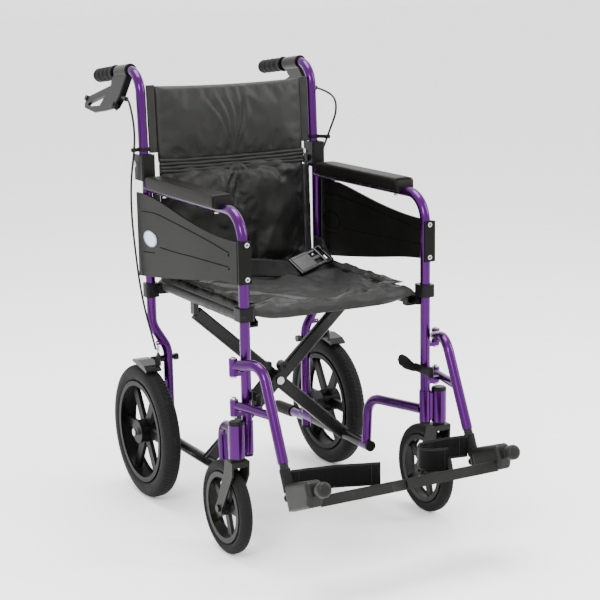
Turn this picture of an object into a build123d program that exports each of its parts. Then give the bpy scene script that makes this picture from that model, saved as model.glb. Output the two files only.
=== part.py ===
"""Attendant-propelled transport wheelchair with a scissor fold.

Frame: +Z up, the occupant faces -Y, X = 0 is the mirror plane, the floor is Z = 0.
Every sub-part is drawn for the +X side (the occupant's left) and mirrored to -X.
Lengths are millimetres, angles degrees.
"""
import os
from math import atan, atan2, cos, degrees, pi, radians, sin, tan

from build123d import *

# ---- driving dimensions -------------------------------------------------------------
TUBE_R = 11.0  # main frame tube
WALL = 1.6
BORE_R = TUBE_R - WALL
POST_X = 219.0  # centre line of the upright tubes, either side
FRONT_Y = -201.0  # front upright
REAR_Y = 268.0  # rear upright
ARM_Z = 723.0  # centre line of the tube under the arm pad
ARM_BEND = 60.0
FIT = 0.05  # radial clearance of a turning pin
GAP = 0.35  # clearance between moving faces

# scissor
PIVOT_X = 182.0
PIVOT_Z = 126.0
CROSS_Y = 80.0  # plane between the two crossing arms
CROSS_Z = 287.0
RAIL_X = 194.0
RAIL_Z = 497.0
BAR_W = 30.0
BAR_T = 17.0

# back
HINGE_Y = 290.0
HINGE_Z = 772.0
BACK_FOOT = (219.0, 279.0, 752.0)
BACK_BEND = (219.0, 289.5, 984.5)
HANDLE_END = (219.0, 522.0, 957.5)
HANDLE_BEND = 52.0

# wheels
REAR_R = 155.0
REAR_W = 42.0
REAR_X = 242.0
CASTOR_R = 100.0
CASTOR_W = 28.0
CASTOR_X = 248.5
CASTOR_Y = -211.0
CASTOR_TRAIL = 51.5

# footrest
HANGER_PIN = (247.0, -200.0)
HANGER_X = 221.0
HANGER_END = (-360.0, 245.0)
HANGER_TILT = 24.5  # lean of the hanger from upright
FOOT_REACH = 95.3  # lower end of the sliding tube below the hanger
PLATE_TILT = 22.5  # rise of the foot plate towards the front
FLIP_DROP = 27.0  # flip axis above the lower end, along the hanger
PLATE_T = 14.0
PLATE_DEPTH = 98.0

# soft parts
SEAT_HALF = 201.0
BACK_HALF = 186.0
CABLE_R = 2.6


# ---- helpers ------------------------------------------------------------------------
def rod(points, radii, radius):
    """Round bar along straight runs joined by tangent arcs."""
    path = FilletPolyline(*points, radius=radii) if radii else Polyline(*points)
    start = Plane(origin=path @ 0, z_dir=path % 0)
    return sweep(start * Circle(radius), path=path)


def bar(a, b, radius):
    """Round bar from a to b."""
    a, b = Vector(*a), Vector(*b)
    plane = Plane(origin=a, z_dir=b - a)
    return Part() + Solid.make_cylinder(radius, (b - a).length, plane)


def ring(a, b, outer, inner):
    """Round bar from a to b with a bore through it."""
    along = (Vector(*b) - Vector(*a)).normalized()
    return bar(a, b, outer) - bar(tuple(Vector(*a) - along), tuple(Vector(*b) + along), inner)


def block(x, y, z):
    """Box from three (low, high) pairs."""
    size = [high - low for low, high in (x, y, z)]
    centre = [(high + low) / 2 for low, high in (x, y, z)]
    return Pos(*centre) * Box(*size)


def flat_yz(outline, x_low, x_high):
    """Closed outline of (y, z) points, extruded along X."""
    face = make_face(Polyline(*[(x_low, y, z) for y, z in outline], close=True))
    return extrude(face, amount=x_high - x_low, dir=(1, 0, 0))


def flat_xz(outline, y_low, y_high):
    """Closed outline of (x, z) points, extruded along Y."""
    face = make_face(Polyline(*[(x, y_low, z) for x, z in outline], close=True))
    return extrude(face, amount=y_high - y_low, dir=(0, 1, 0))


def soften(shape, radius, edges=None):
    """Round the given edges, or leave them sharp where the radius will not go on."""
    try:
        return fillet(edges if edges is not None else shape.edges(), radius)
    except Exception:
        return shape


def along_axis(shape, axis):
    """The straight edges of a shape that run along an axis."""
    return shape.edges().filter_by(axis)


NODES = {}


def keep(name, *solids):
    """Store one node made of one or more separate solids."""
    NODES[name] = list(solids)


def keep_pair(name, *solids):
    """Store a +X node and its -X mirror image."""
    keep(name + "_left", *solids)
    keep(name + "_right", *[mirror(s, about=Plane.YZ) for s in solids])


# ---- side frame ---------------------------------------------------------------------
LUG_TOPS = (400.0, 316.0)  # upper faces of the two hanger lugs
LUG_T = 8.0
PIN_R = 5.0
AXLE_R = 6.0
SLEEVE_TOP = 293.0
SLEEVE_LOW = 224.0
POST_LOW = 102.0
PANEL_SCREW_Z = (661.8, 591.2)
ARM_SCREW_Y = (-85.0, 175.0)
SCREW_R = 2.4


def side_frame():
    """Welded tube frame of one side with its lugs, sleeves and pivot spindle."""
    front, rear = (POST_X, FRONT_Y), (POST_X, REAR_Y)
    arm = [(*front, SLEEVE_LOW + 2), (*front, ARM_Z), (*rear, ARM_Z)]
    upright = [(*rear, 748), (*rear, 404), (PIVOT_X, REAR_Y, 344), (PIVOT_X, REAR_Y, POST_LOW)]
    down = [(214, FRONT_Y + 5, 250), (186, -17, 238), (PIVOT_X, -14, PIVOT_Z)]
    tip = [(PIVOT_X, REAR_Y, 122), (PIVOT_X, 415, 113.5)]
    castor = (CASTOR_X, CASTOR_Y)
    body = rod(arm, [ARM_BEND], TUBE_R)
    body += rod(upright, [60, 60], TUBE_R)
    body += rod(down, [42], TUBE_R)
    body += rod(tip, None, TUBE_R)
    body += bar((*front, SLEEVE_LOW), (*front, SLEEVE_TOP), 13)
    body += bar((*castor, 222), (*castor, 292), 17)
    body += block((224, 242), (-214, -198), (228, 288))
    body += bar((PIVOT_X, -28, PIVOT_Z), (PIVOT_X, 1.5, PIVOT_Z), 12.5)
    body += bar((PIVOT_X, 222.5, PIVOT_Z), (PIVOT_X, 284, PIVOT_Z), 12.5)
    body += spring_hook()
    for top in LUG_TOPS:
        body += hanger_lug(top)
    body -= rod([(*front, SLEEVE_LOW - 1), (*front, ARM_Z), (*rear, ARM_Z)], [ARM_BEND], BORE_R)
    body -= rod([(*rear, 749), (*rear, 404), (PIVOT_X, REAR_Y, 344), (PIVOT_X, REAR_Y, 101)],
                [60, 60], BORE_R)
    body -= rod(down, [42], BORE_R)
    body -= bar((PIVOT_X, 300, 120.2), (PIVOT_X, 416, 113.4), BORE_R)
    body -= bar((*castor, 221), (*castor, 293), 9 + FIT)
    body += bar((PIVOT_X, -20, PIVOT_Z), (PIVOT_X, 226, PIVOT_Z), 8)
    for top in LUG_TOPS:
        body -= bar((*HANGER_PIN, top - 20), (*HANGER_PIN, top + 6), PIN_R + FIT)
    body -= bar((160, REAR_Y, REAR_R), (205, REAR_Y, REAR_R), AXLE_R + FIT)
    body -= bar((160, REAR_Y, BRAKE_Z), (205, REAR_Y, BRAKE_Z), PIN_R + FIT)
    for z in PANEL_SCREW_Z:
        body -= bar((POST_X, -214, z), (POST_X, FRONT_Y, z), SCREW_R + FIT)
    for y in ARM_SCREW_Y:
        body -= bar((POST_X, y, 710), (POST_X, y, 736), SCREW_R + FIT)
    return body


def hanger_lug(top):
    """Flat ear on the outside of the front upright that carries a hanger pin."""
    ear = bar((*HANGER_PIN, top - LUG_T), (*HANGER_PIN, top), 9)
    return ear + block((225, HANGER_PIN[0]), (-209, -191), (top - LUG_T, top))


def spring_hook():
    """Small tab on the rear upright for the upper end of the brake spring."""
    tab = block((196, 214), (258, 262), (356, 366))
    return tab - bar((210, 255, 361), (210, 265, 361), 1.8)


BRAKE_Z = 321.0
TIP_COVER = (336.0, 420.0)


def tipping_cover():
    """Ribbed rubber sleeve on the rear end of the tipping lever."""
    slope = (113.5 - 122) / (415 - REAR_Y)
    def at(y):
        return (PIVOT_X, y, 122 + slope * (y - REAR_Y))
    cover = bar(at(TIP_COVER[0]), at(TIP_COVER[1]), 14)
    for k in range(8):
        y = TIP_COVER[0] + 8 + 9 * k
        cover += bar(at(y), at(y + 4), 15.2)
    return cover - bar(at(TIP_COVER[0] - 1), at(415.2), TUBE_R + FIT)


def front_rail_block():
    """Moulded saddle on the front upright that the seat rail drops into."""
    collar = block((203, 235), (-217, -181), (503, 530))
    collar = soften(collar, 6, along_axis(collar, Axis.Z))
    saddle = block((181, 209), (-188, -170), (484, RAIL_Z))
    body = collar + saddle + block((206, 214), (-192, -178), (484, 510))
    body -= bar((POST_X, FRONT_Y, 470), (POST_X, FRONT_Y, 540), TUBE_R + FIT)
    return body - bar((RAIL_X, -195, RAIL_Z), (RAIL_X, -150, RAIL_Z), TUBE_R + GAP)


def rear_rail_block():
    """Moulded saddle on the rear upright."""
    collar = block((203, 234), (253, 283), (470, 502))
    collar = soften(collar, 6, along_axis(collar, Axis.Z))
    saddle = block((181, 210), (236, 256), (480, RAIL_Z))
    body = collar + saddle + block((206, 214), (250, 262), (478, RAIL_Z))
    body -= bar((POST_X, REAR_Y, 460), (POST_X, REAR_Y, 510), TUBE_R + FIT)
    return body - bar((RAIL_X, 220, RAIL_Z), (RAIL_X, 265, RAIL_Z), TUBE_R + GAP)


def castor_cap():
    """Domed cap on the castor tube."""
    cap = bar((CASTOR_X, CASTOR_Y, 292.1), (CASTOR_X, CASTOR_Y, 300), 17)
    return soften(cap, 5, cap.edges().group_by(Axis.Z)[-1])


def frame_fittings():
    """Plastic and rubber mouldings fixed to one side frame."""
    front_cap = bar((PIVOT_X, -34, PIVOT_Z), (PIVOT_X, -28.1, PIVOT_Z), 12.5)
    post_plug = bar((PIVOT_X, REAR_Y, 97), (PIVOT_X, REAR_Y, POST_LOW - 0.1), TUBE_R)
    sleeve_plug = bar((POST_X, FRONT_Y, 218.5), (POST_X, FRONT_Y, 223.9), 12)
    return [front_rail_block(), rear_rail_block(), castor_cap(), front_cap, post_plug,
            sleeve_plug, tipping_cover()]


PANEL_IN, PANEL_OUT = 231.8, 236.0


def frame_screws():
    """Panel screws, arm pad screws, hinge rivet, axle bolt with its nut."""
    out = []
    for z in PANEL_SCREW_Z:
        head = bar((POST_X, -219.8, z), (POST_X, -216.6, z), 5.2)
        head -= bar((POST_X, -219.9, z), (POST_X, -217.8, z), 2.2)
        out.append(head + bar((POST_X, -216.7, z), (POST_X, -206, z), SCREW_R))
    for y in ARM_SCREW_Y:
        head = bar((POST_X, y, 708.6), (POST_X, y, 711.6), 4.6)
        out.append(head + bar((POST_X, y, 711), (POST_X, y, 744), SCREW_R))
    rivet = bar((200.4, HINGE_Y, HINGE_Z), (237.6, HINGE_Y, HINGE_Z), 4)
    rivet += bar((200.4, HINGE_Y, HINGE_Z), (202.9, HINGE_Y, HINGE_Z), 6)
    rivet += bar((235.1, HINGE_Y, HINGE_Z), (237.6, HINGE_Y, HINGE_Z), 6)
    out.append(rivet)
    axle = bar((165, REAR_Y, REAR_R), (274, REAR_Y, REAR_R), AXLE_R)
    axle += bar((193.3, REAR_Y, REAR_R), (200, REAR_Y, REAR_R), 11)
    nut = Plane(origin=(269.4, REAR_Y, REAR_R), z_dir=(1, 0, 0)) * RegularPolygon(9.5, 6)
    axle += extrude(nut, amount=6)
    head = Plane(origin=(164, REAR_Y, REAR_R), z_dir=(1, 0, 0)) * RegularPolygon(9.5, 6)
    out.append(axle + extrude(head, amount=6))
    return out


def side_panel():
    """Moulded skirt guard outside the uprights, wrapped round the front one."""
    top = [(292, 709), (180, 704), (60, 686), (-60, 671), (-216.5, 669)]
    low = [(-216.5, 581), (-150, 578), (0, 556), (151, 534), (292, 517)]
    edge = [Spline(*[(PANEL_IN, y, z) for y, z in top]),
            Line((PANEL_IN, *top[-1]), (PANEL_IN, *low[0])),
            Spline(*[(PANEL_IN, y, z) for y, z in low]),
            Line((PANEL_IN, *low[-1]), (PANEL_IN, *top[0]))]
    plate = extrude(make_face(edge), amount=PANEL_OUT - PANEL_IN, dir=(1, 0, 0))
    flange = block((208, PANEL_OUT), (-216.5, -212.4), (581, 669))
    body = plate + flange
    for z in PANEL_SCREW_Z:
        body -= bar((POST_X, -218, z), (POST_X, -210, z), SCREW_R + FIT)
    corner = body.edges().filter_by(Axis.Z).group_by(Axis.Y)[0].sort_by(Axis.X)[-1:]
    return soften(body, 3, corner)


PAD_TOP = 752.0


def arm_pad():
    """Padded arm rest, open along its underside for the tube."""
    outline = [(-124, 722), (-117, 747), (-108, PAD_TOP), (222, PAD_TOP), (231, 746), (231, 722)]
    pad = flat_yz(outline, POST_X - 24.5, POST_X + 24.5)
    pad = soften(pad, 9, along_axis(pad, Axis.Y).group_by(Axis.Z)[-1])
    pad -= rod([(POST_X, -200, ARM_Z), (POST_X, 240, ARM_Z)], None, TUBE_R + 0.1)
    pad -= block((POST_X - 11.1, POST_X + 11.1), (-200, 240), (700, ARM_Z + 1))
    for y in ARM_SCREW_Y:
        pad -= bar((POST_X, y, 730), (POST_X, y, 744.2), SCREW_R + FIT)
    return pad


# ---- back ---------------------------------------------------------------------------
def back_hinge():
    """Channel bracket on top of the rear upright, open to the rear and upwards."""
    body = block((203, 235), (253, 303), (737, 795))
    body = soften(body, 5, along_axis(body, Axis.Z))
    body -= block((207.4, 230.6), (257, 310), (750, 800))
    body -= bar((POST_X, REAR_Y, 730), (POST_X, REAR_Y, 748.3), TUBE_R + FIT)
    body -= block((207.4, 230.6), (290, 310), (730, 760))
    body -= bar((195, HINGE_Y, HINGE_Z), (240, HINGE_Y, HINGE_Z), 4.02)
    return body


RELEASE_PIVOT = (277.0, 757.0)


def hinge_release():
    """Thumb lever beside the hinge bracket."""
    lever = flat_yz([(271, 763), (281, 764), (304, 755), (304, 746), (292, 743), (271, 751)], 198.2, 202.6)
    knob = bar((192, 300, 750), (202.2, 300, 750), 6.4)
    knob = soften(knob, 2.5, knob.edges().group_by(Axis.X)[0])
    boss = bar((196.6, *RELEASE_PIVOT), (202.6, *RELEASE_PIVOT), 5)
    return lever + knob + boss


def back_post():
    """Upper upright with its push handle and the eye that turns on the hinge rivet."""
    path = [BACK_FOOT, BACK_BEND, HANDLE_END]
    body = rod(path, [HANDLE_BEND], TUBE_R) - rod(path, [HANDLE_BEND], BORE_R)
    eye = bar((208.2, HINGE_Y, HINGE_Z), (229.8, HINGE_Y, HINGE_Z), 12)
    web = block((214, 226), (276, HINGE_Y), (760, 784))
    body += eye + web
    return body - bar((200, HINGE_Y, HINGE_Z), (240, HINGE_Y, HINGE_Z), 4 + FIT)


def on_handle(y):
    """Point on the handle's centre line at a given Y."""
    slope = (HANDLE_END[2] - BACK_BEND[2]) / (HANDLE_END[1] - BACK_BEND[1])
    return (HANDLE_END[0], y, BACK_BEND[2] + slope * (y - BACK_BEND[1]))


GRIP = (420.0, 529.0)


def grip():
    """Finger-grooved rubber hand grip with a closed end."""
    points = []
    steps = 26
    for k in range(steps + 1):
        s = k / steps
        wave = 1.1 * cos(2 * pi * 4.5 * s)
        radius = 16.0 + wave - 1.6 * (s > 0.97)
        points.append((radius, s * (GRIP[1] - GRIP[0])))
    profile = [(0, 0)] + points + [(0, GRIP[1] - GRIP[0])]
    start, end = Vector(*on_handle(GRIP[0])), Vector(*on_handle(GRIP[1]))
    plane = Plane(origin=start, z_dir=end - start)
    face = make_face(Polyline(*[(r, 0, h) for r, h in profile], close=True))
    body = revolve(face, Axis.Z)
    body = plane.location * body
    hole_end = Vector(*HANDLE_END) + (end - start).normalized() * 0.2
    return body - bar(on_handle(GRIP[0] - 4), tuple(hole_end), TUBE_R + FIT)


# the brake lever swings in a plane that leans outwards below the handle
LEAN = 24.0  # lean of that plane from upright
OUT = Vector(sin(radians(LEAN)), 0, -cos(radians(LEAN)))
LEVER_AXIS = Vector(cos(radians(LEAN)), 0, sin(radians(LEAN)))
LEVER_ORIGIN = Vector(219, 0, 974)
LEVER_PIVOT = (353.0, 79.0)  # Y, and distance below the handle in the leaning plane
LEVER_KNOB = (526.3, 76.0)
ADJUSTER = ((334.0, 60.0), (308.0, 62.0))  # back and front end, in the leaning plane


def in_lever_plane(at):
    """Row-frame point of a (y, drop) point in the leaning plane."""
    return LEVER_ORIGIN + Vector(0, at[0], 0) + OUT * at[1]


def lever_slab(outline, low, high):
    """Outline of (y, drop) points, extruded across the leaning plane."""
    base = LEVER_ORIGIN + LEVER_AXIS * low
    points = [tuple(base + Vector(0, y, 0) + OUT * drop) for y, drop in outline]
    face = make_face(Polyline(*points, close=True))
    return extrude(face, amount=high - low, dir=tuple(LEVER_AXIS))


def lever_rod(at, low, high, radius):
    """Round bar across the leaning plane at a (y, drop) point."""
    centre = in_lever_plane(at)
    return bar(tuple(centre + LEVER_AXIS * low), tuple(centre + LEVER_AXIS * high), radius)


def brake_mount(bow):
    """Clamp on the handle with the forked body that holds the lever, and a cable clip."""
    clamp = bar(on_handle(338), on_handle(404), 15.5)
    arm = lever_slab([(337, 6), (411, 6), (411, 28), (398, 48), (376, 84), (356, 91), (344, 84), (335, 62)],
                     -8.5, 8.5)
    arm = soften(arm, 2.5)
    body = clamp + arm
    body -= lever_slab([(325, 54), (360, 54), (374, 22), (440, 19), (440, 115), (325, 115)], -4.5, 4.5)
    body -= rod([BACK_FOOT, BACK_BEND, HANDLE_END], [HANDLE_BEND], TUBE_R + FIT)
    body -= lever_rod(LEVER_PIVOT, -20, 20, 3)
    pin = lever_rod(LEVER_PIVOT, -9.5, 9.5, 3) + lever_rod(LEVER_PIVOT, 8.6, 10.4, 5)
    back, front = [in_lever_plane(at) for at in ADJUSTER]
    stop = lever_slab([(334, 52), (342, 52), (342, 69), (334, 69)], -4.5, 4.5)
    adjuster = bar(tuple(back), tuple(front), 5.2)
    return [body + stop, pin, adjuster, cable_clip(bow)]


CLIP_Z = 806.0


def cable_clip(bow):
    """Collar on the back upright with an eye that the cable runs through."""
    post_y = BACK_FOOT[1] + 0.045 * (CLIP_Z - BACK_FOOT[2])
    cable_y = 279.5 - 0.405 * bow
    low, high = CLIP_Z - 4, CLIP_Z + 4
    body = bar((POST_X, post_y, low), (POST_X, post_y, high), 13.5)
    body += bar((243, cable_y, low), (243, cable_y, high), 7)
    run = Vector(243 - POST_X, cable_y - post_y, 0)
    link = Box(run.length, 5, 8)
    middle = ((243 + POST_X) / 2, (cable_y + post_y) / 2, CLIP_Z)
    body += Pos(*middle) * (Rot(Z=run_angle(run)) * link)
    body -= bar((POST_X, post_y - 0.5, low - 9), (POST_X, post_y + 0.5, high + 9), TUBE_R + 0.3)
    points = cable_route(bow)
    return body - rod(points, corner_radii(points), CABLE_R + 0.3)


def brake_lever():
    """Closed-loop brake lever."""
    outline = [(366, 60), (398, 42), (416, 37), (508, 67), (522, 74), (528, 90), (520, 100), (457, 106),
               (400, 97), (366, 90), (347, 89), (343, 78), (349, 69)]
    hole = [(424, 62), (470, 76), (500, 86), (506, 91), (486, 94), (436, 88)]
    body = lever_slab(outline, -4, 4)
    body = soften(body, 2.4)
    body -= lever_slab(hole, -6, 6)
    knob = lever_rod(LEVER_KNOB, -4, 7, 6.5) + lever_slab([(517, 76), (531, 76), (523, 92), (515, 92)], -4, 4)
    body += knob
    return body - lever_rod(LEVER_PIVOT, -20, 20, 3 + FIT)


CABLE_BOW = 62.0  # the occupant's left cable loops this much further forward


def cable_route(bow):
    """Corner points of one brake cable, lever first; bow moves the upper loop forward."""
    back, front = [in_lever_plane(at) for at in ADJUSTER]
    ahead = (front - back).normalized()
    return [tuple(front + ahead * 0.05), tuple(front + ahead * (10 + 0.4 * bow)),
            (246, 283 - bow, 901), (244, 274 - bow, 868),
            (243, 273 - 0.6 * bow, 832), (243, 283 - 0.3 * bow, 792), (244, 299, 742),
            (244, 305, 690), (244, 303, 636), (243, 294, 578), (242, 284, 522), (241, 270, 474),
            (238, 256, 430), (232, 244, 390), (226, 236, 352)]


def corner_radii(points):
    """Arcs as large as the runs beside each corner allow."""
    radii = []
    for a, b, c in zip(points, points[1:], points[2:]):
        one, two = Vector(*b) - Vector(*a), Vector(*c) - Vector(*b)
        turn = one.get_angle(two)
        radii.append(0.45 * min(one.length, two.length) / tan(radians(turn / 2)))
    return radii


def brake_cable(bow, side):
    """Sheathed cable from the adjuster down to the tyre brake."""
    points = [(side * x, y, z) for x, y, z in cable_route(bow)]
    radii = corner_radii(points)
    body = rod(points, radii, CABLE_R)
    path = FilletPolyline(*points, radius=radii)
    print("cable", side, "length", round(path.length, 1), "smallest radius", round(min(radii), 1),
          "volume ratio", round(body.volume / (pi * CABLE_R ** 2 * path.length), 4))
    return body


# ---- scissor ------------------------------------------------------------------------
def cross_arm(y_low):
    """Bar from the -X lower pivot tube to the +X seat rail, with both tubes."""
    y_high = y_low + BAR_T
    slope = atan((461 - PIVOT_Z) / (190 + PIVOT_X))
    across = Vector(-sin(slope), 0, cos(slope)) * (BAR_W / 2)
    low, high = Vector(-PIVOT_X, 0, PIVOT_Z), Vector(190, 0, 461)
    outline = [low - across, high - across, high + across, low + across]
    beam = flat_xz([(p.X, p.Z) for p in outline], y_low, y_high)
    beam = soften(beam, 5, [e for e in beam.edges() if abs((e % 0).Y) < 0.01 and e.length > 200])
    post = block((188, 200), (y_low, y_high), (460, RAIL_Z))
    tube_low = bar((-PIVOT_X, 2.2, PIVOT_Z), (-PIVOT_X, 221.8, PIVOT_Z), 12)
    rail = bar((RAIL_X, -185.5, RAIL_Z), (RAIL_X, 262, RAIL_Z), TUBE_R)
    body = beam + post + tube_low + rail
    body -= bar((-PIVOT_X, 0, PIVOT_Z), (-PIVOT_X, 230, PIVOT_Z), 8 + FIT)
    body -= bar((RAIL_X, -186, RAIL_Z), (RAIL_X, 263, RAIL_Z), BORE_R)
    return body - bar((0, y_low - 1, CROSS_Z), (0, y_high + 1, CROSS_Z), 5 + FIT)


def cross_arms():
    """Both scissor bars; one carries a boss and the other a lip that meets it."""
    front = cross_arm(CROSS_Y - 1 - BAR_T)
    boss = bar((12, CROSS_Y - 20, 318), (12, CROSS_Y - 1, 318), 12)
    boss -= bar((12, CROSS_Y - 21, 318), (12, CROSS_Y - 14, 318), 4)
    rear = mirror(cross_arm(CROSS_Y + 1), about=Plane.YZ)
    lip = block((-30, -8), (CROSS_Y + 3, CROSS_Y + 16), (306, 327))
    keep("cross_arm_front", front + boss)
    keep("cross_arm_rear", rear + soften(lip, 4, along_axis(lip, Axis.Y)))


def cross_bolt():
    """Bolt and washers of the scissor's middle joint."""
    low, high = CROSS_Y - BAR_T - 1, CROSS_Y + BAR_T + 1
    bolt = bar((0, low - 4, CROSS_Z), (0, high + 8, CROSS_Z), 5)
    bolt += bar((0, low - 5, CROSS_Z), (0, low - 0.2, CROSS_Z), 9)
    bolt += bar((0, high + 0.2, CROSS_Z), (0, high + 5, CROSS_Z), 9)
    return bolt + bar((0, CROSS_Y - 0.8, CROSS_Z), (0, CROSS_Y + 0.8, CROSS_Z), 10)


# ---- wheels -------------------------------------------------------------------------
def turned(profile, centre):
    """Ring turned about an X axis: (radius, x) points about a wheel centre."""
    face = make_face(Polyline(*[(r, 0, x) for r, x in profile], close=True))
    body = revolve(face, Axis.Z)
    return Plane(origin=centre, x_dir=(0, 1, 0), z_dir=(1, 0, 0)).location * body


def tyre(radius, inner, width, centre, crown):
    """Solid tyre with rounded shoulders."""
    half = width / 2
    shoulder = half - crown
    profile = [(inner, -half + 3), (inner, half - 3), (inner + 5, half), (radius - crown, half),
               (radius - 0.35 * crown, half - 0.3 * crown), (radius, shoulder * 0.55),
               (radius, -shoulder * 0.55), (radius - 0.35 * crown, -half + 0.3 * crown),
               (radius - crown, -half), (inner + 5, -half)]
    return turned(profile, centre)


def spoked_wheel(rim, hub, width, bore, centre, spokes, spoke_w, spoke_t, hub_half):
    """Moulded wheel: channel rim, flat spokes and hub in one piece."""
    half = width / 2
    profile = [(rim - 11, -half), (rim, -half), (rim, half), (rim - 11, half),
               (rim - 7, half - 6), (rim - 7, -half + 6)]
    body = turned(profile, centre)
    body += bar((centre[0] - hub_half, *centre[1:]), (centre[0] + hub_half, *centre[1:]), hub)
    for k in range(spokes):
        turn = Rot(X=360 / spokes * k + 90)
        spoke = Pos(0, 0, (rim - 8 + hub - 3) / 2) * Box(spoke_t, spoke_w, rim - 8 - hub + 8)
        body += Pos(*centre) * (turn * spoke)
    return body - bar((centre[0] - 60, *centre[1:]), (centre[0] + 60, *centre[1:]), bore)


def castor_fork():
    """Stem, crown and two trailing legs."""
    at = (CASTOR_X, CASTOR_Y)
    axle_y = CASTOR_Y + CASTOR_TRAIL
    body = bar((*at, 212), (*at, 290), 9)
    crown = block((CASTOR_X - 20.5, CASTOR_X + 20.5), (CASTOR_Y - 17, CASTOR_Y + 17), (203.5, 215.5))
    body += soften(crown, 5, along_axis(crown, Axis.Z))
    body += bar((*at, 214), (*at, 220.8), 13)
    leg = [(CASTOR_Y - 17, 215), (CASTOR_Y + 17, 215), (CASTOR_Y + 22, 190), (axle_y + 13, CASTOR_R),
           (axle_y - 13, CASTOR_R - 4), (CASTOR_Y - 15, 185)]
    for side in (-1, 1):
        low, high = sorted((side * 16.5, side * 20.5))
        body += flat_yz(leg, CASTOR_X + low, CASTOR_X + high)
        body += bar((CASTOR_X + low, axle_y, CASTOR_R), (CASTOR_X + high, axle_y, CASTOR_R), 14)
    return body - bar((CASTOR_X - 30, axle_y, CASTOR_R), (CASTOR_X + 30, axle_y, CASTOR_R), 4 + FIT)


def castor_axle():
    """Bolt and nuts through the fork."""
    y = CASTOR_Y + CASTOR_TRAIL
    body = bar((CASTOR_X - 23, y, CASTOR_R), (CASTOR_X + 23, y, CASTOR_R), 4)
    for side in (-1, 1):
        low, high = sorted((side * 20.6, side * 25))
        body += bar((CASTOR_X + low, y, CASTOR_R), (CASTOR_X + high, y, CASTOR_R), 7.5)
    return body


def tyre_brake():
    """Pivot rod through the rear upright, with the shoe that presses on the tyre."""
    body = bar((163, REAR_Y, BRAKE_Z), (262, REAR_Y, BRAKE_Z), PIN_R)
    body += bar((158, REAR_Y, BRAKE_Z), (167, REAR_Y, BRAKE_Z), 8)
    body += bar((194.2, REAR_Y, BRAKE_Z), (224, REAR_Y, BRAKE_Z), 7.5)
    shoe = flat_yz([(214, 306), (212, 311), (226, 320), (262, 326), (290, 324), (291, 319),
                    (262, 314.5), (240, 311)], 224, 262)
    shoe = soften(shoe, 1.4, along_axis(shoe, Axis.X))
    ear = flat_yz([(222, 316), (226, 342), (234, 346), (246, 324), (246, 318)], 220, 225)
    ear = soften(ear, 2, along_axis(ear, Axis.X))
    ear -= bar((215, 232, 338), (230, 232, 338), 2.0)
    return body + shoe + ear


def brake_spring():
    """Closed envelope of the small return spring."""
    return bar((211.5, 255.5, 357.5), (220, 238, 344), 2.6)


# ---- footrest -----------------------------------------------------------------------
TUBE_DOWN = Vector(0, -sin(radians(HANGER_TILT)), -cos(radians(HANGER_TILT)))
FORE = Vector(0, -cos(radians(PLATE_TILT)), sin(radians(PLATE_TILT)))
DOWN = Vector(0, -sin(radians(PLATE_TILT)), -cos(radians(PLATE_TILT)))
FOOT_END = Vector(0, *HANGER_END) + TUBE_DOWN * FOOT_REACH


def on_hanger(reach):
    """Point on the hanger's centre line, counted down from its lower end."""
    return tuple(Vector(HANGER_X, *HANGER_END) + TUBE_DOWN * reach)


def foot(x, fore, down):
    """Point of the footrest's own frame, counted from the lower end of the sliding tube."""
    return tuple(FOOT_END + Vector(x, 0, 0) + FORE * fore + DOWN * down)


def foot_slab(outline, x_low, x_high):
    """Outline of (fore, down) points, extruded along X."""
    points = [foot(x_low, f, d) for f, d in outline]
    face = make_face(Polyline(*points, close=True))
    return extrude(face, amount=x_high - x_low, dir=(1, 0, 0))


def foot_plan(outline, down_low, down_high):
    """Outline of (x, fore) points in the plate's own plane, extruded along the hanger."""
    face = make_face(Polyline(*[foot(x, f, down_low) for x, f in outline], close=True))
    return extrude(face, amount=down_high - down_low, dir=tuple(DOWN))


def drop_of(point):
    """How far a point lies down the hanger's line from the end of the sliding tube."""
    return (point - FOOT_END).dot(DOWN)


HANGER_RISE = 200.0  # from the hanger's lower end up to its bend


def hanger_pins():
    """Two pins, one in each lug, that the hanger swings on."""
    out = []
    for top in LUG_TOPS:
        pin = bar((*HANGER_PIN, top - LUG_T - 0.3), (*HANGER_PIN, top + 31), PIN_R)
        pin += bar((*HANGER_PIN, top - LUG_T - 4), (*HANGER_PIN, top - LUG_T - 0.3), 7)
        out.append(pin)
    return out


def footrest_hanger():
    """Bent tube and its brace, with the two sleeves that turn on the pins."""
    pin = HANGER_PIN
    path = [(243, -204, 414), on_hanger(-HANGER_RISE), on_hanger(0)]
    body = rod(path, [42], TUBE_R)
    body += rod([(243, -207, 330), (HANGER_X, -316, 331)], None, 9)
    body += bar((*pin, LUG_TOPS[0] + 0.3), (*pin, LUG_TOPS[0] + 28), 9)
    body += bar((*pin, LUG_TOPS[1] + 0.3), (*pin, LUG_TOPS[1] + 26), 9)
    body += block((205, 236), (-246, -231), (326, 333.6))
    body -= bar(on_hanger(-160), on_hanger(2), BORE_R)
    for top in LUG_TOPS:
        body -= bar((*pin, top - 1), (*pin, top + 40), PIN_R + FIT)
    body += bar((209, -238, 330), (209, -238, 355), 3)
    return body


LATCH_PIVOT = (209.0, -238.0)


def footrest_latch():
    """Finger lever that holds the hanger against the front upright."""
    eye = bar((*LATCH_PIVOT, 334), (*LATCH_PIVOT, 354), 6)
    blade = block((203, 206.2), (-240, -184), (334.5, 353.5))
    tab = block((196, 206.2), (-192, -184), (338, 350))
    wing = [(206.2, 336), (196, 336), (174, 345), (160, 357), (156.5, 368), (160, 377), (168, 379), (180, 372),
            (196, 356), (206.2, 351)]
    paddle = flat_xz(wing, -191.5, -187)
    blade = soften(blade + tab, 1.2)
    return eye + blade + soften(paddle, 1.5) - bar((*LATCH_PIVOT, 325), (*LATCH_PIVOT, 360), 3 + FIT)


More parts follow.
